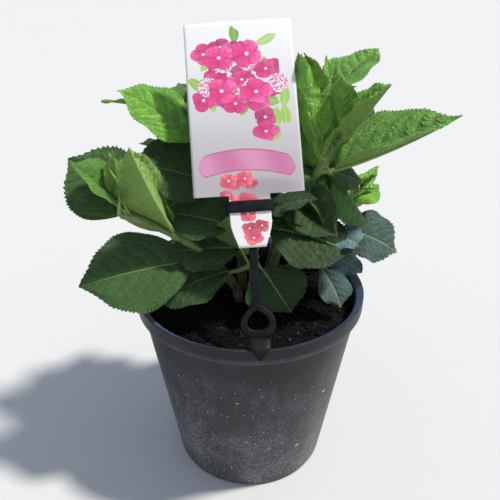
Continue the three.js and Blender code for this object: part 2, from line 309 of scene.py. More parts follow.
# One piece from many shapes. Each shape has a cell of its own in the map that the finish is baked to.
def makePiece(name, shapes, material, replaced=(), mapped=True):
    points, quads, tris, quadUv, triUv, flat = [], [], [], [], [], []
    marks = {}
    first = 0
    across = math.ceil(math.sqrt(len(shapes)))
    for number, shape in enumerate(shapes):
        size = len(shape["points"])
        points.append(shape["points"])
        quads.append(shape.get("quads", np.zeros((0, 4), int)) + first)
        tris.append(shape.get("tris", np.zeros((0, 3), int)) + first)
        flat.append(shape.get("flat", np.zeros(len(quads[-1]), bool)))
        if mapped:
            cell = np.array([number % across, number // across]) / across
            quadUv.append(shape.get("quadUv", np.zeros((0, 4, 2))) * 0.97 / across + cell)
            triUv.append(shape.get("triUv", np.zeros((0, 3, 2))) * 0.97 / across + cell)
        for key, value in shape.get("marks", {}).items():
            marks.setdefault(key, []).append(np.broadcast_to(value, (size, 3)))
        first += size
    quads, tris = np.vstack(quads), np.vstack(tris)
    mesh = bpy.data.meshes.new(name)
    mesh.from_pydata((np.vstack(points) * mm).tolist(), [], quads.tolist() + tris.tolist())
    sharp = np.concatenate([np.concatenate(flat), np.zeros(len(tris), bool)])
    mesh.polygons.foreach_set("use_smooth", ~sharp)
    if mapped:
        layer = mesh.uv_layers.new(name="OFBake")
        corners = np.vstack([np.vstack(quadUv).reshape(-1, 2), np.vstack(triUv).reshape(-1, 2)])
        layer.data.foreach_set("uv", corners.astype(np.float32).ravel())
    for key, values in marks.items():
        layer = mesh.attributes.new(key, "FLOAT_VECTOR", "POINT")
        layer.data.foreach_set("vector", np.vstack(values).astype(np.float32).ravel())
    mesh.update()
    mesh.materials.append(material)
    piece = addObject(name, mesh)
    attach(piece, "root")
    if replaced:
        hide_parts(*replaced)
    print(name, len(quads) * 2 + len(tris), "triangles")
    return piece


# The camera stands in front, above the rim, and looks down at the plant. Its place is in metres.
viewpoint = {"eye": (0, -0.426, 0.418), "lookDown": 26.4, "lens": 39.6, "sensor": 36}
camera = addObject("camera", bpy.data.cameras.new("camera"))
camera.data.lens = viewpoint["lens"]
camera.data.sensor_width = viewpoint["sensor"]
camera.data.clip_start = 0.01
camera.data.clip_end = 200
camera.location = viewpoint["eye"]
camera.rotation_euler = (math.radians(90 - viewpoint["lookDown"]), 0, 0)
bpy.context.scene.camera = camera
print("camera placed")

studio = {
    "sunTurn": -3, "sunRise": 60, "sunPower": 5.0, "sunSpread": 6, "sunColour": (1, 0.965, 0.9),
    "skyTop": (0.62, 0.72, 0.92), "skyEdge": (0.84, 0.84, 0.83), "skyPower": 0.8,
    "floorRadius": 45000, "floorColour": (0.46, 0.46, 0.46), "floorGap": 0.0002,
}


# One sun from the right and a sky that is a little bluer overhead.
def lightStudio():
    sun = addObject("sun", bpy.data.lights.new("sun", "SUN"))
    sun.data.energy = studio["sunPower"]
    sun.data.angle = math.radians(studio["sunSpread"])
    sun.data.color = studio["sunColour"]
    turn, rise = math.radians(studio["sunTurn"]), math.radians(studio["sunRise"])
    sun.rotation_euler = (math.pi / 2 - rise, 0, turn + math.pi / 2)
    world = bpy.data.worlds.new("studio")
    bpy.context.scene.world = world
    world.use_nodes = True
    tree = world.node_tree
    tree.nodes.clear()
    flow = Flow(tree)
    height = flow.node("ShaderNodeTexCoord").parts()[2]
    colour = height.step(0.02, 0.75).mix(studio["skyEdge"], studio["skyTop"])
    lit = flow.node("ShaderNodeBackground", None, {"Color": colour, "Strength": studio["skyPower"]})
    output = tree.nodes.new("ShaderNodeOutputWorld")
    tree.links.new(lit.socket, output.inputs["Surface"])
    bpy.context.scene.view_settings.view_transform = "Standard"


def floorFinish(flow):
    grain = flow.noise(flow.place(), 60, 2)
    return {
        "Base Color": grain.mix(studio["floorColour"], [c * 1.02 for c in studio["floorColour"]]),
        "Roughness": 0.9, "Specular IOR Level": 0.1,
    }


# The floor is a wide flat disc: rings from the middle to its edge, each wider than the last.
def layFloor():
    radii = np.geomspace(200, studio["floorRadius"], 12)
    turn = roundTurn(96)
    points = radii[:, None, None] * spreadPoints(np.cos(turn), np.sin(turn), 0)
    faces = gridFaces(len(radii), len(turn), True, True)
    points = np.vstack([points.reshape(-1, 3), [[0, 0, 0]]])
    disc = faces["quads"][:, ::-1].tolist() + faces["tris"][:len(turn), ::-1].tolist()
    mesh = bpy.data.meshes.new("floor")
    mesh.from_pydata((points * mm).tolist(), [], disc)
    mesh.materials.append(makeMaterial("floor_paint", floorFinish))
    floor = addObject("floor", mesh)
    floor.location.z = cadBox[0][2] - studio["floorGap"]


lightStudio()
layFloor()
print("studio ready")

pot = {
    "height": 174, "baseRadius": 70, "wallTop": 95, "rimRadius": 100, "band": 15, "wall": 2.4, "floor": 4,
    "segments": 256, "soilEdge": 153, "soilMound": 4,
}


# A profile with its corners rounded: each corner becomes a curve that leaves and meets its two sides.
def roundedProfile(corners, steps=7):
    corners = np.array(corners, float)
    points = [corners[:1, :2]]
    for before, here, after in zip(corners[:-2], corners[1:-1], corners[2:]):
        back = unit(before[:2] - here[:2]) * here[2]
        on = unit(after[:2] - here[:2]) * here[2]
        t = np.linspace(0, 1, steps)[:, None]
        points.append(here[:2] + (1 - t) ** 2 * back + t ** 2 * on)
    points.append(corners[-1:, :2])
    return np.vstack(points)


# A turned shape: the profile's radius and height carried round the upright axis.
def turnedPart(profile, segments):
    turn = roundTurn(segments)
    ring = spreadPoints(np.cos(turn), np.sin(turn), 0)
    points = profile[:, None, :1] * ring[None] + profile[:, None, 1:] * [0, 0, 1]
    middles = [[0, 0, profile[0, 1]], [0, 0, profile[-1, 1]]]
    faces = gridFaces(len(profile), segments, True, True)
    return dict(points=np.vstack([points.reshape(-1, 3), middles]), **faces)


# The pot's inner wall is a cone: its radius grows evenly with height.
def innerRadius(z):
    low, high = pot["baseRadius"] - pot["wall"], pot["wallTop"] - pot["wall"]
    return low + (high - low) * z / (pot["height"] - pot["band"])


# The pot is its wall's profile, outside and inside, turned round the upright axis.
def makePot():
    top, rim, bandLow = pot["height"], pot["rimRadius"], pot["height"] - pot["band"]
    corners = [
        (20, 0.0, 0), (58, 0.0, 1), (60, 0.8, 0.8), (63, 0.8, 0.8), (64, 0, 0.8),
        (pot["baseRadius"] - 0.6, 0, 3.2), (pot["wallTop"] - 0.3, bandLow - 1.6, 1.4),
        (rim - 1.8, bandLow + 0.3, 1.1), (rim - 0.5, bandLow + 2.2, 1.2),
        (rim - 0.1, top - 0.6, 1.0), (rim - 1.3, top, 0.8), (rim - 6.9, top - 4.4, 1.6),
        (innerRadius(bandLow) + 0.4, bandLow - 1, 3), (innerRadius(pot["floor"]), pot["floor"], 3),
        (20, pot["floor"], 0),
    ]
    shape = turnedPart(roundedProfile(corners), pot["segments"])
    makePiece("pot_shell", [shape], makeMaterial("pot_plastic", potFinish), ["pot"])


potLook = {
    "plastic": (0.0088, 0.0100, 0.0128), "dust": (0.26, 0.265, 0.28), "speck": (0.52, 0.52, 0.50),
    # hem and lipHighlight: painted highlights along the band's lower hem and the lip's edge
    "nick": (0.62, 0.62, 0.62), "hem": (0.085, 0.087, 0.092), "lipHighlight": (0.070, 0.073, 0.080),
    # bevelReflection: a painted reflection of the sky on the lip's bevel
    "bevelReflection": (0.042, 0.070, 0.155), "film": 0.03, "clouds": 0.22, "runs": 0.13, "lowDust": (0.26, 0.32),
    "waterMark": (-0.036, 0.122), "ringsPerMetre": 210, "ringDust": 0.30,
}
# Where its marks begin and end, in metres: heights, and reaches out from the upright axis.
potMarks = {
    # bandShadowHeight: where the band's painted shadow fades into the dust
    "bandShadowHeight": (0.156, 0.124), "lowHeight": (0.125, 0.0), "lipReach": (0.0989, 0.0980),
    "lipHeight": (0.159, 0.163), "innerReach": (0.0934, 0.0928), "innerHeight": (0.152, 0.158),
    # hemTop, hemFoot, hemReach and lipHighlight place the painted highlights
    "hemTop": (0.1655, 0.1625), "hemFoot": (0.1580, 0.1605), "hemReach": (0.0978, 0.0988),
    "lipHighlight": (0.1722, 0.1736), "markReach": (0.028, 0.016),
}


# Black moulded plastic under a film of dust. The film is thicker low down, broken into clouds, runs and
# fine grains. It is also thicker on the right, which is painted light on the side that the light falls
# on, and it starts only below a clean dark zone under the band, which is the band's painted shadow. On it
# are sparse pale specks, a few nicks, and one dried water mark whose rings follow the distance from its
# middle.
# The bevel of the lip and the wall inside it are bluer, a painted reflection of the sky, and thin painted
# highlights run along the band's lower hem and the lip's edge.
def potFinish(flow):
    look, marks = potLook, potMarks
    place = flow.place()
    x, y, z = place.parts()
    edge = flow.noise(place, 22, 3) * 0.014
    # painted shadow of the band: the film starts only below this height, so the wall just under the band
    # stays dark
    belowBandShadow = (z + edge).step(*marks["bandShadowHeight"])
    lowMask = z.step(*marks["lowHeight"])
    reach = (x * x + y * y) ** 0.5
    # painted reflection of the sky: the lip's bevel and the wall inside it are tinted blue
    lip = reach.step(*marks["lipReach"]) * z.step(*marks["lipHeight"])
    innerWall = reach.step(*marks["innerReach"]) * z.step(*marks["innerHeight"])
    bevelReflection = lip.most(innerWall * 0.4)
    # painted highlights: thin pale lines along the band's lower hem and along the lip's edge
    hem = z.step(*marks["hemTop"]) * z.step(*marks["hemFoot"]) * reach.step(*marks["hemReach"])
    lipHighlight = z.step(*marks["lipHighlight"])
    drawnOut = flow.stretch(place, 0.22)
    runs = flow.noise(drawnOut, 90, 5, 0.65).step(0.45, 0.72)
    cloud = flow.noise(place, 26, 6, 0.68, 0.3).step(0.36, 0.68)
    grain = flow.noise(place, 620, 3, 0.7).step(0.42, 0.74)
    specks = flow.cells(place, 430.0)
    picked = specks.other("Color").parts()[0] + 0.10 * lowMask + 0.04 * cloud
    speck = specks.step(0.34, 0.16) * picked.step(0.965, 0.985)
    scars = flow.cells(flow.stretch(place, 2.6), 36.0)
    scarPicked = scars.other("Color").parts()[1].step(0.66, 0.68)
    nicks = (scars + 0.03 * grain).step(0.105, 0.07) * scarPicked
    markX, markZ = look["waterMark"]
    away = ((x - markX) ** 2 + ((z - markZ) * 1.7) ** 2) ** 0.5
    away = away + flow.noise(place, 70, 4, 0.65, 1.8) * 0.012
    rings = ((away * look["ringsPerMetre"]).fract() - 0.5).abs().step(0.4, 0.05)
    rings = rings * away.step(*marks["markReach"]) * y.step(0, -0.04)
    lowDust, lowClouds = look["lowDust"]
    # the x term is painted light: more film on the right, the side that the light falls on
    film = look["film"] + look["clouds"] * cloud + look["runs"] * runs + 0.04 * x.step(-0.05, 0.07)
    film = film + lowMask * (lowDust + lowClouds * cloud)
    film = film * (0.30 + 1.35 * grain) + look["ringDust"] * rings * (0.2 + runs)
    dust = film * belowBandShadow + 0.03 * cloud * (1 - belowBandShadow)
    colour = dust.least(1).mix(look["plastic"], look["dust"])
    colour = (speck * belowBandShadow * 0.8).mix(colour, look["speck"])
    colour = (nicks * belowBandShadow * 0.9).mix(colour, look["nick"])
    colour = (hem * (0.25 + 0.5 * runs)).mix(colour, look["hem"])
    colour = (lipHighlight * (0.2 + 0.4 * runs)).mix(colour, look["lipHighlight"])
    colour = (bevelReflection * 0.9).mix(colour, look["bevelReflection"])
    fine = flow.noise(place, 1500, 2)
    ripple = flow.noise(drawnOut, 42, 2)
    return {
        "Base Color": colour,
        "Roughness": 0.38 + 0.3 * dust + 0.06 * fine,
        "Specular IOR Level": 0.24,
        "Normal": flow.bump(ripple, 0.0012, 0.35, flow.bump(fine + grain * 0.6, 0.00012, 0.5)),
    }


makePot()


# Height of the compost: a low mound with lumps, a little higher round the shoots.
def soilTop(x, y):
    reach = np.hypot(x, y) / innerRadius(pot["soilEdge"])
    lumps = 0.9 * np.sin(x * 0.11 + 0.6) * np.cos(y * 0.13) + 0.5 * np.sin(x * 0.23 - y * 0.19)
    mound = pot["soilEdge"] + pot["soilMound"] * (1 - reach * reach)
    return mound + lumps * np.clip(4 * (1 - reach) + 0.1, 0, 1)


compost = {
    "rings": 84, "sectors": 240, "crumb": 1.3, "chips": 1700, "fibres": 420, "seed": 5,
    "dampAndShaded": (0.0008, 0.0010, 0.0018), "crumbTone": (0.0038, 0.0038, 0.0056),
    "rusty": (0.009, 0.0075, 0.0075), "grey": (0.05, 0.041, 0.036),
}


# The compost fills the pot. Its top is the mound with two sizes of crumbs added to its height.
def makeCompost():
    edge = innerRadius(pot["soilEdge"]) - 0.4
    top = np.linspace(edge, 3, compost["rings"])
    low = pot["floor"] + 0.4
    wall = [[20, low], [innerRadius(low) - 1.5, low], [edge - 1, 140]]
    profile = np.vstack([wall, np.stack([top, 0 * top + pot["soilEdge"]], -1)])
    shape = turnedPart(profile, compost["sectors"])
    points = shape["points"]
    raised = points[:, 2] > 150
    x, y = points[raised, 0], points[raised, 1]
    flatPlace = spreadPoints(x, y, 0)
    crumbs = np.abs(relief(flatPlace, 5, 8, 3)) * compost["crumb"]
    points[raised, 2] = soilTop(x, y) + (relief(flatPlace, 13, 3) * 1.5 + crumbs) - 0.6
    material = makeMaterial("compost_mix", compostFinish)
    makePiece("compost_bed", [shape], material, ["compost"])


# Damp peat, so dark and a little blue that it is partly painted shade, with paler crumbs and a few rusty
# and grey grains.
def compostFinish(flow):
    place = flow.place()
    big = flow.noise(place, 90, 5, 0.7)
    tone = flow.cells(place, 420.0).other("Color").parts()[0]
    colour = big.step(0.3, 0.75).mix(compost["dampAndShaded"], compost["crumbTone"])
    colour = tone.step(0.86, 0.93).mix(colour, compost["rusty"])
    colour = tone.step(0.98, 0.995).mix(colour, compost["grey"])
    crumbs = flow.noise(place, 620, 4, 0.7)
    return {
        "Base Color": colour, "Roughness": 0.85 + 0.1 * big, "Specular IOR Level": 0.12,
        "Normal": flow.bump(crumbs, 0.0022, 1.0),
    }


# Loose bits all have the tone that was dealt to them, with a little mottling.
def bitsFinish(flow):
    tone, lightness, _ = flow.mark("bit").parts()
    place = flow.place()
    mottle = flow.noise(place, 700, 3)
    colour = (tone ** 2).mix((0.0018, 0.0018, 0.0024), (0.021, 0.018, 0.020))
    colour = lightness.mix(colour, (0.08, 0.070, 0.062))
    colour = (mottle * 0.7).mix(colour, (0.003, 0.0025, 0.0022))
    return {
        "Base Color": colour, "Roughness": 0.85, "Specular IOR Level": 0.15,
        "Normal": flow.bump(mottle, 0.0006, 0.8),
    }


# The twelve corners and twenty faces of an icosahedron, the start of each chip.
def icosahedron():
    g = (1 + 5 ** 0.5) / 2
    corners = [(s, t * g, 0) for s in (-1, 1) for t in (-1, 1)]
    corners += [(0, s, t * g) for s in (-1, 1) for t in (-1, 1)]
    corners += [(t * g, 0, s) for s in (-1, 1) for t in (-1, 1)]
    corners = np.array(corners, float)
    close = np.linalg.norm(corners[:, None] - corners[None], axis=-1) < 2.1
    faces = [(a, b, c) for a in range(12) for b in range(a) for c in range(b)
             if close[a, b] and close[b, c] and close[a, c]]
    faces = np.array(faces)
    a, b, c = (corners[faces[:, k]] for k in range(3))
    inward = np.einsum("ij,ij->i", np.cross(b - a, c - a), a) < 0
    faces[inward] = faces[inward][:, ::-1]
    return unit(corners), faces


# Three seeded axes at right angles for each of a number of loose bits.
def looseAxes(rng, count, tip):
    first = unit(rng.normal(size=(count, 3)) * [1, 1, tip])
    third = unit(rng.normal(size=(count, 3)) * [0.5, 0.5, 1])
    second = unit(np.cross(third, first))
    return np.stack([first, second, np.cross(first, second)], 1)


# Seeded places on the compost, clear of the pot wall by a margin.
def scatter(rng, count, margin):
    reach = np.sqrt(rng.uniform(0, 1, count)) * (innerRadius(pot["soilEdge"]) - margin)
    turn = rng.uniform(0, 2 * math.pi, count)
    x, y = reach * np.cos(turn), reach * np.sin(turn)
    return np.stack([x, y, soilTop(x, y)], -1)


# Chips are icosahedra stretched along their axes, with each corner drawn in or out a little.
def scatterChips(rng, material):
    count = compost["chips"]
    corners, faces = icosahedron()
    size = rng.uniform(0.7, 1, count) * rng.choice([1.0, 1.7, 3.2], count, p=[0.55, 0.33, 0.12])
    width, thick = size * rng.uniform(0.4, 0.8, count), size * rng.uniform(0.2, 0.5, count)
    stretch = np.stack([size, width, thick], -1)
    axes = looseAxes(rng, count, 0.25)
    shape = corners[None] * stretch[:, None] * rng.uniform(0.7, 1.25, (count, len(corners), 1))
    place = scatter(rng, count, 5) + spreadPoints(0, 0, 0.4 + size * 0.2)
    points = np.einsum("nki,nij->nkj", shape, axes) + place[:, None]
    tone, pale = rng.uniform(0, 1, count) ** 1.6, (rng.uniform(0, 1, count) > 0.965) * 0.8
    tris = faces[None] + len(corners) * np.arange(count)[:, None, None]
    chips = {
        "points": points.reshape(-1, 3), "tris": tris.reshape(-1, 3),
        "marks": {"bit": np.repeat(spreadPoints(tone, pale, 0), len(corners), 0)},
    }
    makePiece("bark_chips", [chips], material, mapped=False)


# Fibres are thin tubes: a straight line plus a bend across it and a hump, thinner towards both ends.
def scatterFibres(rng, material):
    count = compost["fibres"]
    rings, sides = 7, 4
    t = np.linspace(-1, 1, rings)[None, :, None]
    length = rng.uniform(2.5, 11, count)[:, None, None]
    axes = looseAxes(rng, count, 0.22)
    bend = rng.normal(0, 0.35, (count, 1, 1))
    hump = np.abs(rng.normal(0, 0.25, (count, 1, 1)))
    path = axes[:, :1] * t * length + axes[:, 1:2] * (t * t - 0.4) * bend * length
    path = path + axes[:, 2:3] * hump * length * (1 - t * t) * 0.6
    path = path + (scatter(rng, count, 12) + [0, 0, 0.9])[:, None]
    path[..., 2] = np.maximum(path[..., 2], soilTop(path[..., 0], path[..., 1]) + 0.3)
    angle = roundTurn(sides)[:, None]
    thick = rng.uniform(0.16, 0.42, (count, 1, 1, 1)) * (1.02 - np.abs(t)[..., None] ** 3)
    ring = axes[:, None, 1:2] * np.cos(angle) + axes[:, None, 2:3] * np.sin(angle)
    points = (path[:, :, None] + ring * thick).reshape(count, -1, 3)
    points = np.concatenate([points, path[:, [0, -1]]], 1)
    faces = gridFaces(rings, sides, True, True)
    size = points.shape[1]
    lift = size * np.arange(count)[:, None, None]
    tone, pale = rng.uniform(0.3, 1, count), (rng.uniform(0, 1, count) > 0.8) * 0.5
    fibres = {
        "points": points.reshape(-1, 3), "quads": (faces["quads"][None] + lift).reshape(-1, 4),
        "tris": (faces["tris"][None] + lift).reshape(-1, 3),
        "marks": {"bit": np.repeat(spreadPoints(tone, pale, 0), size, 0)},
    }
    makePiece("root_fibres", [fibres], material, mapped=False)


def makeLooseBits():
    rng = np.random.default_rng(compost["seed"])
    material = makeMaterial("bark_bits", bitsFinish)
    scatterChips(rng, material)
    scatterFibres(rng, material)


makeCompost()
makeLooseBits()

# Shoots: foot at the compost, the knee that the stem leans towards, its top, and its thickness at both
# ends.
shoots = {
    "left": {"foot": (-8, -2, 150), "knee": (-16, -8, 212), "top": (-100, -38, 256), "thick": (4.2, 2.6)},
    "right": {"foot": (14, 6, 150), "knee": (24, 6, 236), "top": (76, 14, 300), "thick": (4.6, 2.6)},
    "low": {"foot": (24, 12, 150), "knee": (46, 16, 218), "top": (86, 20, 244), "thick": (3.8, 2.4)},
    "centre": {"foot": (2, -12, 150), "knee": (2, -16, 214), "top": (8, -18, 262), "thick": (4, 2.6)},
    "back": {"foot": (-6, 16, 150), "knee": (-10, 30, 236), "top": (-30, 38, 312), "thick": (4.4, 2.6)},
    "rear": {"foot": (12, 24, 150), "knee": (30, 34, 244), "top": (60, 30, 326), "thick": (3.8, 2.3)},
}

# Leaves by mass. Each is: place on the stem, turn, rise, length, width, droop, roll, fold, stalk,
# the place along the blade where it is widest, and its youth from 0, dark and old, to 1, bright and new.
# The last column also holds painted light and shade: leaves that stand in shade were given lower values,
# and sunlit ones higher.
masses = {
    "left_lower_leaves": ("left", [
        (0.48, 201, 3, 97, 80, 16, -26, 6, 12, 0.52, 0.14),
        (0.73, 231, 60, 86, 68, -8, 80, 48, 6, 0.28, 0.85),
        (0.66, 102, 32, 62, 54, 20, 0, 12, 12, 0.44, 0.4),
        (0.4, 128, 12, 66, 50, 34, 0, 12, 12, 0.44, 0.2),
    ]),
    "left_tip_leaves": ("left", [
        (0.9, 167, 44, 62, 64, 12, -44, 18, 12, 0.44, 0.16),
        (0.93, 201, 52, 45, 44, 4, -25, 28, 20, 0.42, 0.6),
        (0.95, 181, 76, 40, 28, -6, -10, 28, 14, 0.44, 0.85),
        (1, 300, 80, 38, 18, -6, 10, 28, 14, 0.44, 0.9),
    ]),
    "right_lower_leaves": ("right", [
        (0.6, 303, -8, 46, 60, 10, 38, 44, 4, 0.36, 0.04),
        (0.8, 6, -6, 33, 40, 22, 24, 10, 6, 0.44, 0.16),
        (0.6, 96, 22, 78, 60, 34, 0, 12, 14, 0.44, 0.35),
    ]),
    "right_middle_leaves": ("right", [
        (0.8, 140, 75, 94, 58, -4, -75, -18, 4, 0.3, 0.8),
        (0.8, 351, 19, 104, 72, -13, 12, 37, 14, 0.42, 0.66),
        (0.84, 66, 34, 82, 58, 24, 0, 14, 14, 0.44, 0.45),
        (0.85, 331, -41, 52, 52, 24, -10, -25, 13, 0.5, 0.48),
    ]),
    "right_tip_leaves": ("right", [
        (0.97, 332, 54, 54, 52, 0, 12, 36, 8, 0.44, 0.95),
        (1, 231, 76, 44, 26, -5, -160, -30, 8, 0.44, 0.8),
        (1, 122, 62, 58, 22, -8, 0, 26, 10, 0.44, 0.9),
        (0.82, 172, 76, 90, 22, -4, -80, -20, 4, 0.55, 1.0),
    ]),
    "rear_leaves": ("rear", [
        (0.72, 120, 30, 60, 50, 22, 0, 12, 12, 0.44, 0.45),
        (0.99, 36, 41, 63, 52, 14, 0, 20, 8, 0.36, 0.72),
        (0.98, 215, 66, 40, 26, 0, 0, 26, 8, 0.44, 0.8),
        (0.7, 293, -16, 76, 27, 46, 0, 16, 4, 0.4, 0.2),
        (0.86, 75, 36, 66, 52, 24, 0, 14, 10, 0.44, 0.5),
        (0.5, 40, 14, 74, 54, 36, 0, 12, 12, 0.44, 0.3),
    ]),
    "low_shoot_lower_leaves": ("low", [
        (0.7, 350, -10, 54, 50, 26, 34, 10, 18, 0.48, -0.28),
        (0.58, 300, 18, 31, 26, 26, 24, 8, 34, 0.44, -1.0),
        (0.42, 303, -12, 46, 29, 48, 20, 14, 22, 0.66, -0.4),
        (0.4, 348, -6, 36, 28, 34, 34, 10, 24, 0.44, -0.9),
        (0.62, 64, 18, 72, 54, 34, 0, 12, 14, 0.44, 0.3),
    ]),
    "low_shoot_tip_leaves": ("low", [
        (0.98, 50, 20, 52, 18, 0, 6, 20, 5, 0.34, 1.0),
        (0.97, 20, 20, 30, 29, 4, 28, 12, 5, 0.5, 1.0),
        (0.94, 118, 30, 44, 38, 16, -20, 10, 12, 0.44, 0.3),
    ]),
    "centre_lower_leaves": ("centre", [
        (0.48, 312, -36, 43, 54, 16, 24, 8, 13, 0.44, 0.03),
        (0.42, 197, -8, 70, 56, 22, -12, 10, 22, 0.44, 0.07),
        (0.36, 214, 66, 42, 44, 0, 30, 10, 20, 0.44, 0.28),
        (0.55, 178, 2, 62, 54, 14, -24, 10, 12, 0.44, 0.05),
    ]),
    "centre_upper_leaves": ("centre", [
        (0.75, 349, -4, 72, 64, 20, 28, 8, 10, 0.44, 0.0),
        (0.69, 171, 15, 64, 56, 16, -24, 12, 20, 0.44, 0.08),
        (0.96, 84, 40, 62, 48, 20, 0, 14, 12, 0.44, 0.4),
        (0.86, 344, 27, 42, 46, 16, 4, 10, 8, 0.44, 0.0),
        (0.8, 32, 4, 56, 58, 16, 10, 10, 8, 0.44, 0.0),
    ]),
    "back_hanging_leaves": ("back", [
        (0.4, 62, 10, 84, 62, 44, 0, 10, 16, 0.44, 0.2),
        (0.42, 128, 14, 86, 62, 46, 0, 10, 16, 0.44, 0.24),
        (0.52, 95, 18, 80, 58, 46, 0, 10, 14, 0.44, 0.22),
    ]),
    "back_lower_leaves": ("back", [
        (0.6, 203, 28, 70, 66, 14, -40, 14, 22, 0.44, 0.07),
        (0.68, 161, 22, 66, 36, 20, 30, 10, 22, 0.44, 0.4),
        (0.62, 30, 28, 78, 60, 26, 0, 12, 14, 0.44, 0.3),
        (0.74, 96, 28, 84, 62, 32, 0, 12, 14, 0.44, 0.36),
        (0.66, 150, 24, 76, 54, 30, 0, 12, 14, 0.44, 0.3),
    ]),
    "back_top_leaves": ("back", [
        (0.8, 186, 37, 75, 54, 10, -34, 10, 26, 0.44, 0.8),
        (1, 171, 10, 86, 12, 10, 0, 55, 16, 0.4, 0.8),
        (0.96, 62, 48, 66, 52, 18, 0, 16, 12, 0.44, 0.5),
        (0.9, 124, 38, 68, 52, 26, 0, 14, 10, 0.44, 0.45),
        (0.96, 300, 62, 40, 34, 6, 0, 26, 10, 0.44, 0.7),
        (0.94, 90, 56, 62, 48, 26, 0, 16, 10, 0.44, 0.55),
    ]),
}


# A stem is the curve that leaves its foot towards the knee and reaches its top from there.
def stemPoint(shoot, t):
    foot, knee, top = (np.array(shoot[key], float) for key in ("foot", "knee", "top"))
    t = np.asarray(t, float)[..., None]
    return (1 - t) ** 2 * foot + 2 * t * (1 - t) * knee + t ** 2 * top


def stemWay(shoot, t):
    return unit(stemPoint(shoot, t + 0.01) - stemPoint(shoot, t - 0.01))


label = {
    "foot": (7.3, -93, 174), "lean": 32.4, "twist": 4, "cardHalf": 42.5, "cardLow": 113.5,
    "cardHigh": 252.5, "cardThick": 0.7, "cardBow": 0.9, "tailHalf": 15.8, "tailTip": 9.5, "tailLow": 73,
    "ringLow": 5, "ringHigh": 29,
    "ringHalf": 13.75, "headLow": 100, "headHigh": 109, "strapHalf": 3.25, "strapThick": 2,
}
lean, twist = math.radians(label["lean"]), math.radians(label["twist"])
leanSine, leanCosine = math.sin(lean), math.cos(lean)
twistSine, twistCosine = math.sin(twist), math.cos(twist)
leanTurn = np.array([[1, 0, 0], [0, leanSine, -leanCosine], [0, leanCosine, leanSine]])
twistTurn = np.array([[twistCosine, -twistSine, 0], [twistSine, twistCosine, 0], [0, 0, 1]])
labelTurn = leanTurn @ twistTurn


# Label points are across the card, up the card, and out of its face towards the front.
def labelPlace(points):
    return points @ labelTurn.T + label["foot"]


def labelCoordinates(points):
    return (points - label["foot"]) @ labelTurn


# The room that leaves keep: over the compost, over the rim, and behind the card.
clearance = {"soil": 1.6, "rim": 1.2, "rimReach": (88, 93, 101, 106), "card": 2.2, "mostPush": 30}


# Leaf points are lifted off the compost and the pot's rim, and pushed back from the card.
def keepClear(points):
    x, y, z = points[..., 0], points[..., 1], points[..., 2]
    reach = np.hypot(x, y)
    z = np.where(reach < 97, np.maximum(z, soilTop(x, y) + clearance["soil"]), z)
    inner, innerFull, outerFull, outer = clearance["rimReach"]
    overRim = smooth(inner, innerFull, reach) * smooth(outer, outerFull, reach)
    lift = np.clip(pot["height"] + clearance["rim"] - z, 0, None) * (z > 150) * overRim
    card = labelCoordinates(np.stack([x, y, z + lift], -1))
    a, b, n = card[..., 0], card[..., 1], card[..., 2]
    half = np.where(b > label["cardLow"] - 4, label["cardHalf"], label["tailHalf"] + 4)
    near = smooth(half + 9, half + 1.5, np.abs(a)) * smooth(58, 66, b) * smooth(262, 254, b)
    card[..., 2] = n - np.clip(n + clearance["card"], 0, clearance["mostPush"]) * near
    return labelPlace(card)


leafShape = {
    "thick": 0.5, "veins": 7.2, "veinLean": 0.13, "veinArch": 0.42, "archPower": 2.4,
    "quilt": (0.75, 2.0), "cobble": (0.25, 0.62), "cobbleSize": 4.2, "midribGroove": 1.1,
    "veinGroove": 0.35, "veinRidge": 0.28,
    "tooth": 0.022, "toothSpacing": 3.0, "column": 3.3, "wave": 1.6, "waves": 2.6, "curl": 0.09,
    "fine": (0.3, 9), "broad": (1.3, 46),
}


# Half width of a blade along it, 1 at its widest: u^a (1 - u)^b, drawn in a little before the tip.
def bladeWidth(u, widest):
    tipPower = 0.95
    basePower = tipPower * widest / (1 - widest)
    greatest = widest ** basePower * (1 - widest) ** tipPower
    return u ** basePower * (1 - u) ** tipPower / greatest * (1 - 0.4 * smooth(0.78, 0.96, u))


# Where a blade's rows and columns lie. There are four rows to a tooth, saw is how far each one stands out
# (0 to 1), and the columns are closer together at the midrib and at the margin.
def bladeGrid(length, width):
    teeth = int(np.clip(length / leafShape["toothSpacing"], 7, 30))
    phase = np.array([0, 0.28, 0.55, 0.82])
    toothed = 0.09 + 0.875 * (np.arange(teeth)[:, None] + phase).ravel() / teeth
    saw = np.concatenate([np.zeros(5), np.tile(phase / 0.82, teeth), np.zeros(3)])
    u = np.concatenate([[0, 0.015, 0.035, 0.055, 0.075], toothed, [0.968, 0.985, 1]])
    columns = int(np.clip(width / leafShape["column"], 5, 21))
    middle = np.linspace(0.13, 0.91, columns)
    half = np.concatenate([[0, 0.018, 0.045, 0.085], middle, [0.945, 0.975, 1]])
    return u, saw, teeth, np.concatenate([-half[::-1], half[1:]])


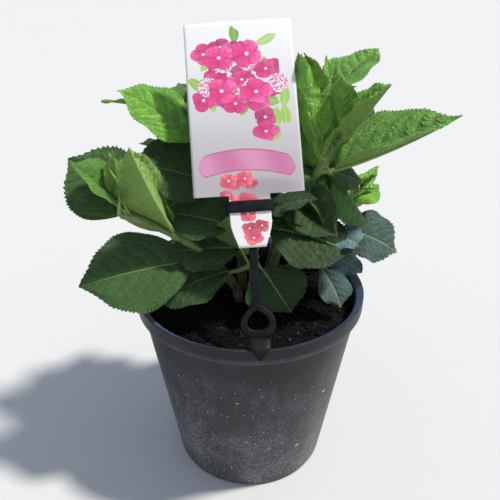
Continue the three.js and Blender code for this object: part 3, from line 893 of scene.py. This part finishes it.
# One leaf blade on a grid of u along the midrib and v across it.
# The midrib is an arc that droops; the two halves are folded up about it and rolled with it. Added to
# the fold are the swelling between side veins, the grooves over the veins, a curled and waved margin,
# and saw teeth that lean towards the tip. s counts the side veins: veins x (u - lean q - arch q^p),
# where q is the distance from the midrib over the greatest half width. Its slope gives their spacing.
def leafBlade(foot, row, rng):
    _, turn, rise, length, width, droop, roll, fold, stalk, widest, youthAndLight = row
    form = leafShape
    u, saw, teeth, v = bladeGrid(length, width)
    whichHalf = (v > 0).astype(int)
    sway, spin = rng.normal(0, 4), rng.normal(0, 4)
    wide = np.maximum(width / 2 * bladeWidth(u, widest), np.maximum(0.9 * (1 - u) ** 2, 0.12))
    u2, v2 = u[:, None], v[None, :]
    rim = np.abs(v2)
    toothSize = rng.uniform(0.6, 1.35, (teeth + 8, 2))[np.arange(len(u)) // 4][:, whichHalf]
    depth = form["tooth"] * min(width, 62) * saw[:, None] * toothSize
    depth = depth * (smooth(0.05, 0.22, u2) * (1 - 0.5 * smooth(0.7, 1, u2))) * smooth(0.86, 1, rim)
    y = v2 * wide[:, None] + np.sign(v2) * depth
    along = u2 * length

    q = np.abs(y) / (width / 2)
    power = form["archPower"]
    shift = np.where(v2 > 0, 0.32, 0) + 0.1
    s = form["veins"] * (u2 - form["veinLean"] * q - form["veinArch"] * q ** power) + shift
    slope = form["veinLean"] + power * form["veinArch"] * q ** (power - 1)
    spacing = 1 / (form["veins"] * np.hypot(1 / length, slope / (width / 2)))
    veinAway = np.abs((s + 0.5) % 1 - 0.5) * spacing
    size = min(1, length / 70)
    inside = smooth(0, 0.2, rim) * (1 - 0.75 * smooth(0.75, 1, rim))
    inside = inside * smooth(0, 0.1, u2) * (1 - smooth(0.85, 1, u2))

    crinkle = rng.uniform(0.8, 1.25)
    swell = (0.5 - 0.5 * np.cos(2 * math.pi * s)) ** 0.8 * inside * np.clip(spacing / 9, 0.3, 1.1)
    rungs = np.abs(y) / form["cobbleSize"] + 0.5 * np.sin(7 * s) + 0.3 * np.sin(31 * u2 + 5 * q)
    pairs = (form["quilt"], form["cobble"])
    quilt, cobble = (low + (high - low) * max(youthAndLight, 0) for low, high in pairs)
    h = quilt * size * crinkle * swell * (1 - cobble * (0.5 + 0.5 * np.cos(2 * math.pi * rungs)))
    h = h - form["veinGroove"] * size * np.exp(-(veinAway / 0.9) ** 2) * inside
    h = h - form["midribGroove"] * size * np.exp(-(y / 1.7) ** 2) * (1 - 0.6 * u2)
    flatPlace = spreadPoints(y, along, 0)
    for (height, reliefSize), octaves, where in ((form["fine"], 3, inside), (form["broad"], 1, rim)):
        h = h + height * size * relief(flatPlace, reliefSize, int(rng.integers(1e6)), octaves) * where
    waves = 2 * math.pi * form["waves"] * u2 + rng.uniform(0, 6.28, 2)[whichHalf][None, :]
    limp = 1 + 2 * max(-youthAndLight, 0)
    h = h + form["wave"] * limp * size * rim ** 3 * np.sin(waves) * smooth(0, 0.3, u2)
    h = h - form["curl"] * wide[:, None] * smooth(0.55, 1, rim)

    folds = np.radians(fold * (1.25 - 0.5 * u2) * np.where(v2 > 0, rng.uniform(0.92, 1.08), 1))
    chord = length * u * np.sinc(np.radians(droop) * u / 2 / math.pi)
    mid = foot + direction(turn, rise) * stalk + direction(turn, rise - droop * u / 2) * chord[:, None]
    side = np.array([-math.sin(math.radians(turn)), math.cos(math.radians(turn)), 0])
    mid = mid + side * (length * math.radians(sway) * u * u / 2)[:, None]
    ahead = direction(turn, rise - droop * u)
    normal = np.cross(ahead, side)
    rolled = np.radians(roll + spin * (u - 0.3))[:, None]
    across = side * np.cos(rolled) + normal * np.sin(rolled)
    face = normal * np.cos(rolled) - side * np.sin(rolled)
    out, lift = y * np.cos(folds), np.abs(y) * np.sin(folds) * (1.2 - 0.2 * rim) + h
    points = mid[:, None] + across[:, None] * out[..., None] + face[:, None] * lift[..., None]
    points = keepClear(points + ahead[:, None] * (0.9 * depth)[..., None])

    normals = unit(np.cross(np.gradient(points, axis=0), np.gradient(points, axis=1)))
    thick = form["thick"] / 2 * (1 - 0.55 * smooth(0.8, 1, rim)) * smooth(-0.2, 0.1, u2)
    under = thick + form["veinRidge"] * size * np.exp(-(veinAway / 0.7) ** 2) * inside
    shape = closedSheet(points + normals * thick[..., None], points - normals * under[..., None])
    veins = spreadPoints(s, y, along).reshape(-1, 3)
    sizes = spreadPoints(spacing, rim, u2).reshape(-1, 3)
    looks = np.array([[0, youthAndLight, rng.uniform()]]).repeat(len(veins), 0)
    shape["marks"] = {
        "veinPlace": np.vstack([veins, veins]),
        "leafSize": np.vstack([sizes, sizes]),
        "leafLook": np.vstack([looks, looks + [1, 0, 0]]),
    }
    middle = len(v) // 2
    return shape, points[:, middle], normals[:, middle]


# The stalk leaves the stem, thins towards the blade and runs on under it as the raised midrib.
def leafStalk(foot, row, midrib, normals):
    length, stalk, youthAndLight = row[3], row[8], row[10]
    sides = 10
    thick = 0.7 + length * 0.012
    base = midrib[0] - normals[0] * thick * 0.7
    t = np.linspace(0, 1, 9)[:-1]
    sag = np.array([0, 0, -0.06 * stalk]) * np.sin(math.pi * t[:, None])
    path = foot * (1 - t[:, None]) + base * t[:, None] + sag
    along = np.linspace(0, 1, len(midrib))
    radius = thick * (1 - 0.86 * along ** 0.8)
    under = midrib - normals * (radius * 0.85 + 0.1)[:, None]
    keep = np.arange(0, len(midrib), 3)
    path = np.vstack([path, under[keep]])
    free = thick * (1.45 - 0.45 * t) + 0.7 * (1 - t) ** 4
    shape = tube(path, np.concatenate([free, radius[keep]]), sides)
    place = np.concatenate([np.repeat(np.concatenate([0 * t, along[keep]]), sides), [0, 1]])
    shape["marks"] = {"stalkLook": spreadPoints(place, youthAndLight, 0)}
    return shape


sideShoots = {
    "chance": 0.75, "seed": 31, "back": (25, 165), "fromLength": 45, "length": (5, 15), "leaf": (13, 25),
    "shrink": 0.62, "pairs": 2, "thick": (1.7, 1.0),
}


# The branching rule. In the axil of a leaf a side shoot may grow: it leaves between the leaf and the
# stem, and carries pairs of leaflets, each pair smaller and turned a quarter round from the last.
def growSideShoot(foot, row, way, rng):
    leafWay = direction(row[1], max(row[2], 10))
    ahead = unit(leafWay * rng.uniform(0.35, 0.8) + way * rng.uniform(0.6, 1.1) + rng.normal(0, 0.12, 3))
    reach = rng.uniform(*sideShoots["length"])
    t = np.linspace(0, 1, 7)
    path = foot + ahead * (reach * t)[:, None] + np.array([0, 0, 1]) * (t ** 2 * reach * 0.12)[:, None]
    twig = tube(path, np.linspace(*sideShoots["thick"], 7), 10)
    twig["marks"] = {"stalkLook": [0, 0.7, 0]}
    blades, stalks = [], [twig]
    length = rng.uniform(*sideShoots["leaf"])
    turn = rng.uniform(0, 360)
    heading = math.degrees(math.atan2(ahead[1], ahead[0]))
    climb = math.degrees(math.asin(np.clip(ahead[2], -1, 1)))
    for pair in range(sideShoots["pairs"]):
        for opposite in (0, 180):
            angle = math.radians(turn + opposite)
            spread = 52 - 22 * pair
            small = (0, heading + spread * math.cos(angle), climb + spread * math.sin(angle), length,
                     length * 0.5, 8, rng.normal(0, 20), 26, 3, 0.44, min(1, row[10] + 0.25))
            blade, midrib, normals = leafBlade(path[-1], small, rng)
            blades.append(blade)
            stalks.append(leafStalk(path[-1], small, midrib, normals))
        turn += 90
        length *= sideShoots["shrink"]
    return blades, stalks


# Leaf finish. The side veins lie where s is whole; between them finer veins cross like rungs and the
# smallest ones make a net. The upper face is deep green and swells inside the net; the lower face is
# paler and dull, with its veins standing out. Young leaves are yellower, old ones bluer. The tone that
# follows youth is also painted light and shade: the dark old tone and the loss of patches near 0 stand
# for leaves in shade, the bright young tones for sunlit ones.
leafTones = {
    # oldAndShaded is both the tone of old leaves and painted shade
    "oldAndShaded": (0.008, 0.025, 0.012), "grown": (0.066, 0.180, 0.032), "young": (0.31, 0.70, 0.080),
    # underYoungAndBacklit: the paler underside of young leaves, brightened as painted light shining
    # through them
    "vein": (0.20, 0.33, 0.09), "underOld": (0.028, 0.060, 0.020), "underYoungAndBacklit": (0.29, 0.48, 0.115),
    # bloomAndSkySheen: blue-grey for limp leaves, partly their own tone and partly a painted sheen of the
    # sky
    "bloomAndSkySheen": (0.13, 0.22, 0.26), "withered": (0.17, 0.125, 0.055), "warm": (0.10, 0.17, 0.02),
    "midrib": (0.27, 0.42, 0.13), "margin": (0.16, 0.25, 0.05),
    "underNet": (0.20, 0.33, 0.08), "underVein": (0.25, 0.40, 0.12),
}


def leafFinish(flow):
    s, across, along = flow.mark("veinPlace").parts()
    spacing, rim, u = flow.mark("leafSize").parts()
    under, youthAndLight, luck = flow.mark("leafLook").parts()
    away = across.abs()
    sideVein = ((s + 0.5).fract() - 0.5).abs() * spacing
    sideWidth = 0.55 - 0.38 * rim
    side = (sideVein / sideWidth).step(1.5, 0.35)
    middle = (away / (1.15 - 0.85 * u)).step(1.3, 0.5)
    flat = across.join(across, along, luck * 40)
    sway = flow.noise(flat, 0.22, 3, 0.6)
    rung = ((away * 0.36 + sway * 2.4 + s * 0.35).fract() - 0.5).abs() * 2.7
    rungs = rung.step(0.42, 0.08) * (1 - 0.4 * rim)
    net = flow.cells(flat, 0.75, feature="DISTANCE_TO_EDGE")
    netLine = net.step(0.16, 0.02)
    patches = flow.noise(flat, 0.06, 3, 0.6)
    mottle = flow.noise(flat, 0.5, 3, 0.65)
    tones = leafTones
    green = (youthAndLight * 2).least(1).mix(tones["oldAndShaded"], tones["grown"])
    green = (youthAndLight * 2 - 1).most(0).mix(green, tones["young"])
    # below youth 0 leaves turn blue-grey, partly their own tone and partly a painted sky sheen
    bloomAndSkySheen = (youthAndLight * -1).most(0)
    # painted shade: near youth 0 the paler patches and mottle fade out, so the leaves in shade are darker
    lively = 0.2 + 0.8 * (youthAndLight * 8).least(1).most(0)
    green = (patches.step(0.35, 0.7) * lively * 0.5).mix(green, [c * 0.55 for c in tones["grown"]])
    green = (mottle.step(0.45, 0.75) * lively * 0.35).mix(green, [c * 1.25 for c in tones["grown"]])
    green = (luck * 0.10).mix(green, tones["warm"])
    green = bloomAndSkySheen.mix(green, tones["bloomAndSkySheen"])
    green = (u.step(0.8, 1.0) * bloomAndSkySheen * 1.3).least(1).mix(green, tones["withered"])
    lines = 0.45 + 0.55 * youthAndLight.most(0)
    upper = ((rungs * 0.16 + netLine * 0.1) * lines).least(1).mix(green, tones["vein"])
    upper = (side * (0.42 - 0.2 * rim) * lines).mix(upper, tones["vein"])
    upper = (middle * lines.most(0.8)).mix(upper, tones["midrib"])
    margin = rim.step(0.965, 1.0) * 0.45 * lines
    upper = margin.mix(upper, tones["margin"])
    # the young underside is partly painted light: sun shining through the leaf
    lower = youthAndLight.most(0).mix(tones["underOld"], tones["underYoungAndBacklit"])
    lower = (patches * 0.3).mix(lower, [c * 0.7 for c in tones["underOld"]])
    lower = (netLine * 0.15 + rungs * 0.2).least(1).mix(lower, tones["underNet"])
    lower = (side * 0.45).mix(lower, tones["underVein"])
    colour = under.mix(upper, lower)
    dome = net.step(0.0, 0.42)
    sunk = (rungs * 0.5 + netLine * 0.16 + side * 0.9).least(1)
    raised = (1 - sunk) * (1 - under) + sunk * under
    height = raised + 0.22 * mottle + dome * (0.35 + 0.65 * youthAndLight.most(0)) * (1 - 1.4 * under)
    return {
        "Base Color": colour,
        "Roughness": 0.42 + 0.2 * under + 0.1 * mottle,
        "Specular IOR Level": 0.34,
        "Subsurface Weight": 0.35, "Subsurface Radius": (0.5, 1.0, 0.15), "Subsurface Scale": 0.0010,
        "Normal": flow.bump(height, 0.0009, 1.0),
    }


stemTones = {
    "stalk": (0.15, 0.23, 0.06), "midrib": (0.19, 0.29, 0.09), "young": (0.26, 0.37, 0.09),
    "spot": (0.07, 0.12, 0.03), "green": ((0.085, 0.15, 0.035), (0.15, 0.23, 0.06)),
    "bark": ((0.045, 0.030, 0.018), (0.16, 0.115, 0.07)), "pore": (0.20, 0.13, 0.075),
    "scar": (0.21, 0.26, 0.10),
}


# Stalks and side shoots: light green with fine spots, paler along the midrib.
def stalkFinish(flow):
    place, youthAndLight, _ = flow.mark("stalkLook").parts()
    spots = flow.noise(flow.place(), 500, 3)
    colour = place.step(0, 0.15).mix(stemTones["stalk"], stemTones["midrib"])
    colour = (youthAndLight * 0.5).mix(colour, stemTones["young"])
    colour = (spots.step(0.5, 0.75) * 0.35).mix(colour, stemTones["spot"])
    return {
        "Base Color": colour, "Roughness": 0.5, "Subsurface Weight": 0.15,
        "Subsurface Radius": (0.6, 1.0, 0.3), "Subsurface Scale": 0.001,
        "Normal": flow.bump(spots, 0.0003, 0.6),
    }


# Stem finish: brown and corky at the foot, green above, with lens-shaped pores and paler nodes.
def stemFinish(flow):
    height, swell, _ = flow.mark("stemLook").parts()
    place = flow.place()
    fine = flow.noise(place, 260, 4, 0.65)
    streak = flow.noise(flow.stretch(place, 0.2), 700, 3)
    pores = flow.cells(flow.stretch(place, 0.45), 420.0).step(0.3, 0.14)
    green = fine.step(0.3, 0.7).mix(*stemTones["green"])
    bark = streak.step(0.3, 0.7).mix(*stemTones["bark"])
    woody = (height + 0.25 * fine).step(0.55, 0.28)
    colour = woody.mix(green, bark)
    colour = (pores * 0.6).mix(colour, stemTones["pore"])
    colour = (swell * 0.3).mix(colour, stemTones["scar"])
    return {
        "Base Color": colour, "Roughness": 0.55 + 0.2 * woody,
        "Normal": flow.bump(streak + pores * 0.8, 0.0005, 0.8),
    }


stems = {
    "rows": 190, "sides": 32, "slim": 0.85, "swell": 0.8, "ridge": 0.12, "ridges": 7, "bark": 0.35,
    "bareNodes": (0.12, 0.25),
}


# A stem with bark relief: its radius narrows evenly, swells at each node where leaves or old leaf
# scars are, and has fine lengthwise ridges and pores.
def makeStem(name, material, number):
    shoot = shoots[name]
    t = np.linspace(0, 1, stems["rows"])
    angle = roundTurn(stems["sides"])
    nodes = [row[0] for shootName, rows in masses.values() if shootName == name for row in rows]
    nodes += stems["bareNodes"]
    swell = np.clip(sum(np.exp(-((t - node) / 0.022) ** 2) for node in nodes), 0, 1.3)
    thick, thin = (stems["slim"] * end for end in shoot["thick"])
    radius = thick + (thin - thick) * t + stems["swell"] * swell
    radius = radius * (1 + 0.22 * smooth(0.12, 0, t)) * (1 - 0.5 * smooth(0.985, 1, t))
    roundPlace = spreadPoints(np.cos(angle) * 4, np.sin(angle) * 4, 60 * t[:, None])
    ridges = np.sin(stems["ridges"] * angle + 3 * np.sin(9 * t)[:, None]) * stems["ridge"]
    bark = relief(roundPlace, 3.2, 40 + number, 3) * stems["bark"] + ridges
    shape = tube(stemPoint(shoot, t), radius[:, None] + bark, stems["sides"])
    look = np.repeat(spreadPoints(t, np.clip(swell, 0, 1), 0), stems["sides"], 0)
    shape["marks"] = {"stemLook": np.vstack([look, [[0, 0, 0], [1, 0, 0]]])}
    makePiece(name + "_stem_bark", [shape], material, [name + "_stem"])


def makePlant():
    leafMaterial = makeMaterial("leaf_green", leafFinish)
    stalks = []
    for number, (name, (shootName, rows)) in enumerate(masses.items()):
        rng = np.random.default_rng(100 + number)
        axil = np.random.default_rng(sideShoots["seed"] + number)
        shoot = shoots[shootName]
        blades = []
        for row in rows:
            foot = stemPoint(shoot, row[0])
            blade, midrib, normals = leafBlade(foot, row, rng)
            blades.append(blade)
            stalks.append(leafStalk(foot, row, midrib, normals))
            lucky = axil.uniform() < sideShoots["chance"]
            behind = sideShoots["back"][0] < row[1] < sideShoots["back"][1]
            if lucky and behind and row[3] > sideShoots["fromLength"]:
                newBlades, newStalks = growSideShoot(foot, row, stemWay(shoot, row[0]), axil)
                blades += newBlades
                stalks += newStalks
        makePiece(name + "_blades", blades, leafMaterial, [name])
    makePiece("leaf_stalks", stalks, makeMaterial("stalk_green", stalkFinish))
    bark = makeMaterial("stem_bark", stemFinish)
    for number, name in enumerate(shoots):
        makeStem(name, bark, number)


makePlant()
print("plant ready")


# The card is a stiff sheet: full width above, a narrow tail below, with a slight bow across it.
def makeCard():
    b = np.concatenate([
        np.linspace(label["tailLow"], label["tailLow"] + 18, 8), np.linspace(94, label["cardLow"], 6),
        np.linspace(label["cardLow"] + 0.15, label["cardHigh"], 60),
    ])
    widening = smooth(label["tailLow"] - 6, label["tailLow"] + 20, b)
    tail = label["tailTip"] + (label["tailHalf"] - label["tailTip"]) * widening
    half = np.where(b > label["cardLow"], label["cardHalf"], tail)
    v = np.linspace(-1, 1, 41)
    a = half[:, None] * v[None]
    bow = label["cardBow"] * ((a / label["cardHalf"]) ** 2 - 0.3) * smooth(120, 250, b)[:, None] * -1
    grid = spreadPoints(a, b[:, None], bow)
    thick = np.array([0, 0, label["cardThick"] / 2])
    shape = closedSheet(grid + thick, grid - thick)
    shape["quads"], shape["quadUv"] = shape["quads"][:, ::-1], shape["quadUv"][:, ::-1]
    place = np.vstack([grid.reshape(-1, 3), grid.reshape(-1, 3)])
    place[:, 2] = np.repeat([1, 0], len(place) // 2)
    shape["marks"] = {"cardPlace": place}
    shape["points"] = labelPlace(shape["points"])
    material = makeMaterial("label_print", cardFinish)
    makePiece("label_card_printed", [shape], material, ["label_card"])


printLook = {
    "groundLow": (0.345, 0.32, 0.335), "groundHigh": (0.70, 0.70, 0.705), "tail": (0.64, 0.62, 0.63),
    "shade": (0.19, 0.17, 0.18), "bandDeep": (0.44, 0.13, 0.26), "bandBright": (0.58, 0.27, 0.41),
    "hem": (0.40, 0.05, 0.15), "back": (0.80, 0.80, 0.79), "eye": (0.72, 0.62, 0.64),
    "budGround": (0.46, 0.16, 0.27), "buds": ((0.70, 0.42, 0.56), (0.72, 0.68, 0.68)),
    "leaves": ((0.10, 0.24, 0.03), (0.30, 0.50, 0.08)), "leafVein": (0.45, 0.62, 0.22),
    "pinks": ((0.53, 0.010, 0.12), (0.72, 0.055, 0.27), (0.74, 0.24, 0.44)),
    "corals": ((0.42, 0.03, 0.065), (0.68, 0.10, 0.15), (0.76, 0.34, 0.38)),
}


# Generic print on the card: loose four-petalled blossoms round pale middles, a few light leaves, and
# a plain curved band, on a pale ground that darkens softly downwards.
def cardFinish(flow):
    look = printLook
    pinks, corals = look["pinks"], look["corals"]
    a, b, front = flow.mark("cardPlace").parts()
    flat = a.join(a, b, 0.0)
    ground = b.step(110, 262).mix(look["groundLow"], look["groundHigh"])
    ground = b.step(112, 106).mix(ground, look["tail"])
    shade = (((a - 14) / 30) ** 2 + ((b - 118) / 9) ** 2).step(1.2, 0.0)
    ground = (shade * 0.5).mix(ground, look["shade"])
    colour = leafLayer(flow, flat, ground, leafZone)
    for spread, shift, light in ((19.0, 3.1, 0.62), (21.0, 9.7, 0.85)):
        colour = blossomLayer(flow, flat, colour, bunchZone, spread, shift, light, pinks)
    colour = budLayer(flow, flat, colour, bunchZone)
    colour = blossomLayer(flow, flat, colour, bunchZone, 26.0, 21.3, 1.0, pinks)
    colour = blossomLayer(flow, flat, colour, footZone, 12.5, 5.2, 0.75, corals)
    curve = b - 141 + ((a + 4) / 15) ** 2 * 1.1
    fromBand = curve.abs() + (a.abs() - 31).most(0) ** 2 * 0.22
    band, hem = fromBand.step(8.9, 8.3), fromBand.step(7.4, 7.9)
    fabric = (a * 0.16 + b * 0.05).sine() * 0.5 + 0.5
    cloth = (fabric * 0.6).mix(look["bandDeep"], look["bandBright"])
    colour = band.mix(colour, (hem * 0.85).mix(cloth, look["hem"]))
    colour = blossomLayer(flow, flat, colour, footZone, 15.0, 17.9, 1.0, corals)
    fleck = flow.noise(flat, 3.2, 2)
    colour = (fleck * 0.06).mix(colour, (0.5, 0.5, 0.5))
    colour = front.mix(look["back"], colour)
    return {
        "Base Color": colour, "Roughness": 0.30 + 0.1 * fleck,
        "Coat Weight": 0.25 * front, "Coat Roughness": 0.12,
        "Normal": flow.bump(flow.noise(flow.place(), 1200, 2), 0.00004, 0.4),
    }


# How far out of the round bunch, and of the spray that trails down on its right, both squared.
def fromBunch(x, y):
    return (x + 4) ** 2 + (y - 209) ** 2, (x - 20) ** 2 + ((y - 184) * 0.6) ** 2


# 1 where a blossom may stand: the round bunch and its spray.
def bunchZone(x, y):
    bunch, trail = fromBunch(x, y)
    return bunch.step(33 ** 2, 32 ** 2).most(trail.step(14.5 ** 2, 13.5 ** 2))


# A few small blossoms stand at the foot of the card and run down onto its tail.
def footZone(x, y):
    foot = ((x + 6) / 15) ** 2 + ((y - 117) / 11) ** 2
    return foot.step(1.05, 1.0).most(x.abs().step(10, 9) * y.step(106, 105) * y.step(79, 80))


# The printed leaves reach a little further out than the blossoms.
def leafZone(x, y):
    bunch, trail = fromBunch(x, y)
    return bunch.step(38 ** 2, 37 ** 2).most(trail.step(17.5 ** 2, 17 ** 2)) * x.abs().step(38, 37)


# One blossom in each cell of a loose scatter: r < R (0.70 + 0.30 |cos 2 angle|^0.5) gives four petals,
# each lit a little differently. The zone is asked about the middle of the cell, so each blossom is whole.
def blossomLayer(flow, flat, colour, zone, spread, shift, light, tones):
    moved = flow.node("ShaderNodeMapping", None, {"Vector": flat, "Location": (shift, shift * 0.7, 0)})
    cell = flow.cells(moved, 1 / spread, 0.5, "2D")
    middle = cell.other("Position")
    x, y, _ = moved.minus(middle).parts()
    middleX, middleY, _ = middle.parts()
    chosen = zone(middleX - shift, middleY - shift * 0.7).step(0.45, 0.55)
    luck = cell.other("Color").parts()[0]
    y = y * (1 + 0.5 * luck)
    radius = (x * x + y * y) ** 0.5
    angle = y.maths("ARCTAN2", y, x) + luck * 6.28
    lobe = (angle * 2).maths("COSINE", angle * 2).abs()
    reach = spread * (0.46 + 0.09 * luck) * (0.70 + 0.30 * lobe ** 0.5)
    petal = (radius / reach).step(1.02, 0.98) * chosen
    within = (radius / reach).least(1)
    lit = (angle + luck * 11).sine() * 0.5 + 0.5
    cloud = flow.noise(moved, 0.35, 3)
    deep, bright, pale = ([c * light for c in tone] for tone in tones)
    tint = (within * 0.4 + lit * 0.5 + cloud * 0.4 - 0.1).least(1).most(0).mix(deep, bright)
    tint = ((lit * within.step(0.3, 0.9) * cloud.step(0.4, 0.6)) * 0.6).mix(tint, pale)
    tint = ((1 - lobe) ** 4 * 0.7 * within.step(0.1, 0.5)).mix(tint, [c * 0.5 for c in deep])
    tint = (within.step(0.93, 1.0) * (1 - lit) * 0.5).mix(tint, [c * 0.6 for c in deep])
    tint = (radius / (spread * 0.06)).step(1.15, 0.85).mix(tint, printLook["eye"])
    return petal.mix(colour, tint)


# Clusters of tiny round buds: pale dots on a deeper ground, inside rough discs, one to a large cell.
def budLayer(flow, flat, colour, zone):
    spread = 27
    clump = flow.cells(flat, 1 / spread, 0.5, "2D")
    middleX, middleY, _ = clump.other("Position").parts()
    rough = flow.noise(flat, 0.5, 3) * 5
    disc = (clump * spread + rough).step(10.6, 10.0) * zone(middleX, middleY)
    dots = flow.cells(flat, 0.55, 0.9, "2D")
    luck = dots.other("Color").parts()[0]
    bud = luck.mix(*printLook["buds"])
    tint = dots.step(0.52, 0.36).mix(printLook["budGround"], bud)
    return disc.mix(colour, tint)


# One pointed leaf in each cell: |y| < width (1 - (x / length)^2), each turned its own way.
def leafLayer(flow, flat, colour, zone):
    cell = flow.cells(flat, 1 / 15, 0.8, "2D")
    middle = cell.other("Position")
    middleX, middleY, _ = middle.parts()
    luck = cell.other("Color").parts()[1]
    inputs = {"Vector": flat.minus(middle), "Angle": luck * 6.28}
    x, y, _ = flow.node("ShaderNodeVectorRotate", {"rotation_type": "Z_AXIS"}, inputs).parts()
    length, halfWidth = 9.5, 3.9
    width = halfWidth * (1 - (x / length) ** 2).most(0)
    inside = (y.abs() - width).step(0.15, -0.15) * zone(middleX, middleY)
    sideVeins = ((x.abs() * 0.9 - y.abs()).fract() - 0.5).abs().step(0.12, 0.03)
    vein = y.abs().step(0.45, 0.15).most(sideVeins * 0.5)
    green = luck.mix(*printLook["leaves"])
    green = (vein * 0.6).mix(green, printLook["leafVein"])
    return inside.mix(colour, green)


# A bar of rounded-box section carried along a path in the label's own frame. The section is a
# superellipse, |cos|^p and |sin|^p with p = 0.45, so its edges are round and its faces nearly flat.
def bar(path, widths, depth, closed=False, sides=24, squareness=0.45):
    if closed:
        along = unit(np.roll(path, -1, 0) - np.roll(path, 1, 0))
    else:
        along = unit(np.gradient(path, axis=0))
    facing = np.array([0, 0, 1.0])
    if abs(along[:, 2]).max() > 0.5:
        facing = np.array([0, 1.0, 0])
    side = unit(np.cross(facing, along))
    turn = (np.arange(sides) + 0.5) * 2 * math.pi / sides
    c, s = (signedPower(x, squareness)[None, :, None] for x in (np.cos(turn), np.sin(turn)))
    widths, depth = (np.broadcast_to(x, len(path))[:, None, None] for x in (widths, depth))
    points = path[:, None] + side[:, None] * c * widths + facing * (s * depth)
    if closed:
        faces = gridFaces(len(path) + 1, sides, True)
        faces["quads"] = faces["quads"] % (len(path) * sides)
        return dict(points=labelPlace(points.reshape(-1, 3)), **faces)
    reach = 0.3
    ends = np.stack([path[0] - along[0] * reach, path[-1] + along[-1] * reach])
    points = labelPlace(np.vstack([points.reshape(-1, 3), ends]))
    return dict(points=points, **gridFaces(len(path), sides, True, True))


holderLook = {"plastic": (0.0038, 0.0040, 0.0050), "dust": (0.02, 0.02, 0.022), "roughness": 0.5}


# Black moulded plastic with a little dust in clouds.
def holderFinish(flow):
    place = flow.place()
    fine = flow.noise(place, 1400, 2)
    dust = flow.noise(place, 120, 4).step(0.45, 0.75)
    return {
        "Base Color": (dust * 0.3).mix(holderLook["plastic"], holderLook["dust"]),
        "Roughness": holderLook["roughness"] + 0.18 * dust, "Specular IOR Level": 0.13,
        "Normal": flow.bump(fine, 0.0001, 0.5),
    }


# The holder: a flat strap from a wedge on the rim up to a loop round the card's tail, with an eyelet
# low on the strap. The eyelet is a ring that is wide and thick below and narrow above.
def makeHolder():
    zBack = -label["cardThick"] / 2 - 1.5
    b = np.linspace(label["ringHigh"] - 2, label["headHigh"] - 1, 24)
    flare = label["strapHalf"] + 3.4 * smooth(label["ringHigh"] + 14, label["ringHigh"] - 3, b) ** 2
    strap = bar(spreadPoints(0, b, zBack), flare, label["strapThick"] / 2)
    turn = roundTurn(72)
    low, high, half = label["ringLow"] + 2.6, label["ringHigh"] - 1, label["ringHalf"] - 2.2
    rise = (1 - np.cos(turn)) / 2
    narrow = 1 - 0.6 * rise ** 2.4
    flatFoot = signedPower(np.sin(turn), 0.75)
    height = low + (high - low) * rise ** 0.92
    path = spreadPoints(half * flatFoot * narrow, height, zBack + 0.4)
    ring = bar(path[::-1], 2.3 + 1.3 * (1 - rise[::-1]) ** 3, 1.9, True)
    wide, deep = label["tailHalf"] + 1.3, 1.5
    headMiddle = (label["headLow"] + label["headHigh"]) / 2
    loop = spreadPoints(
        signedPower(np.cos(turn), 0.25) * wide, headMiddle, signedPower(np.sin(turn), 0.6) * deep - 0.1
    )
    head = bar(loop, 0.75, (label["headHigh"] - label["headLow"]) / 2, True)
    shapes = [strap, ring, head, clipShape()]
    material = makeMaterial("holder_plastic", holderFinish)
    makePiece("label_holder_moulded", shapes, material, ["label_holder"])


# The clip is a wedge over the rim: a path from its point in front, over the lip and down behind it,
# with a width that grows from the point and a section that is flat and round-edged.
def clipShape():
    rim, top = pot["rimRadius"], pot["height"]
    corners = [
        (-rim - 2.6, top - 6, 0), (-rim - 2.2, top + 0.6, 2.2), (-rim + 1.2, top + 2.6, 2),
        (-rim + 8.6, top + 5.4, 2.4), (-rim + 8.2, top - 4.5, 0),
    ]
    profile = roundedProfile(corners, 9)
    t = np.concatenate([[0], np.cumsum(np.linalg.norm(np.diff(profile, axis=0), axis=1))])
    t = t / t[-1]
    grid = np.linspace(0, 1, 60)
    depth, height = (np.interp(grid, t, profile[:, k]) for k in range(2))
    path = spreadPoints(label["foot"][0], depth, height)
    along = unit(np.gradient(path, axis=0))
    out = np.cross(along, [1.0, 0, 0])
    half = 1.6 + 6.6 * smooth(-0.05, 0.42, grid)
    v = np.linspace(-1, 1, 21)
    body = path[:, None] + (half[:, None] * v)[..., None] * [1.0, 0, 0]
    section = 1.25 * (1 - np.abs(v) ** 4) ** 0.5
    ending = np.minimum(1, 8 * (1.02 - grid))
    thick = (section * ending[:, None])[..., None] + 0.05
    return closedSheet(body - out[:, None] * thick, body + out[:, None] * thick)


makeCard()
makeHolder()
print("label ready")

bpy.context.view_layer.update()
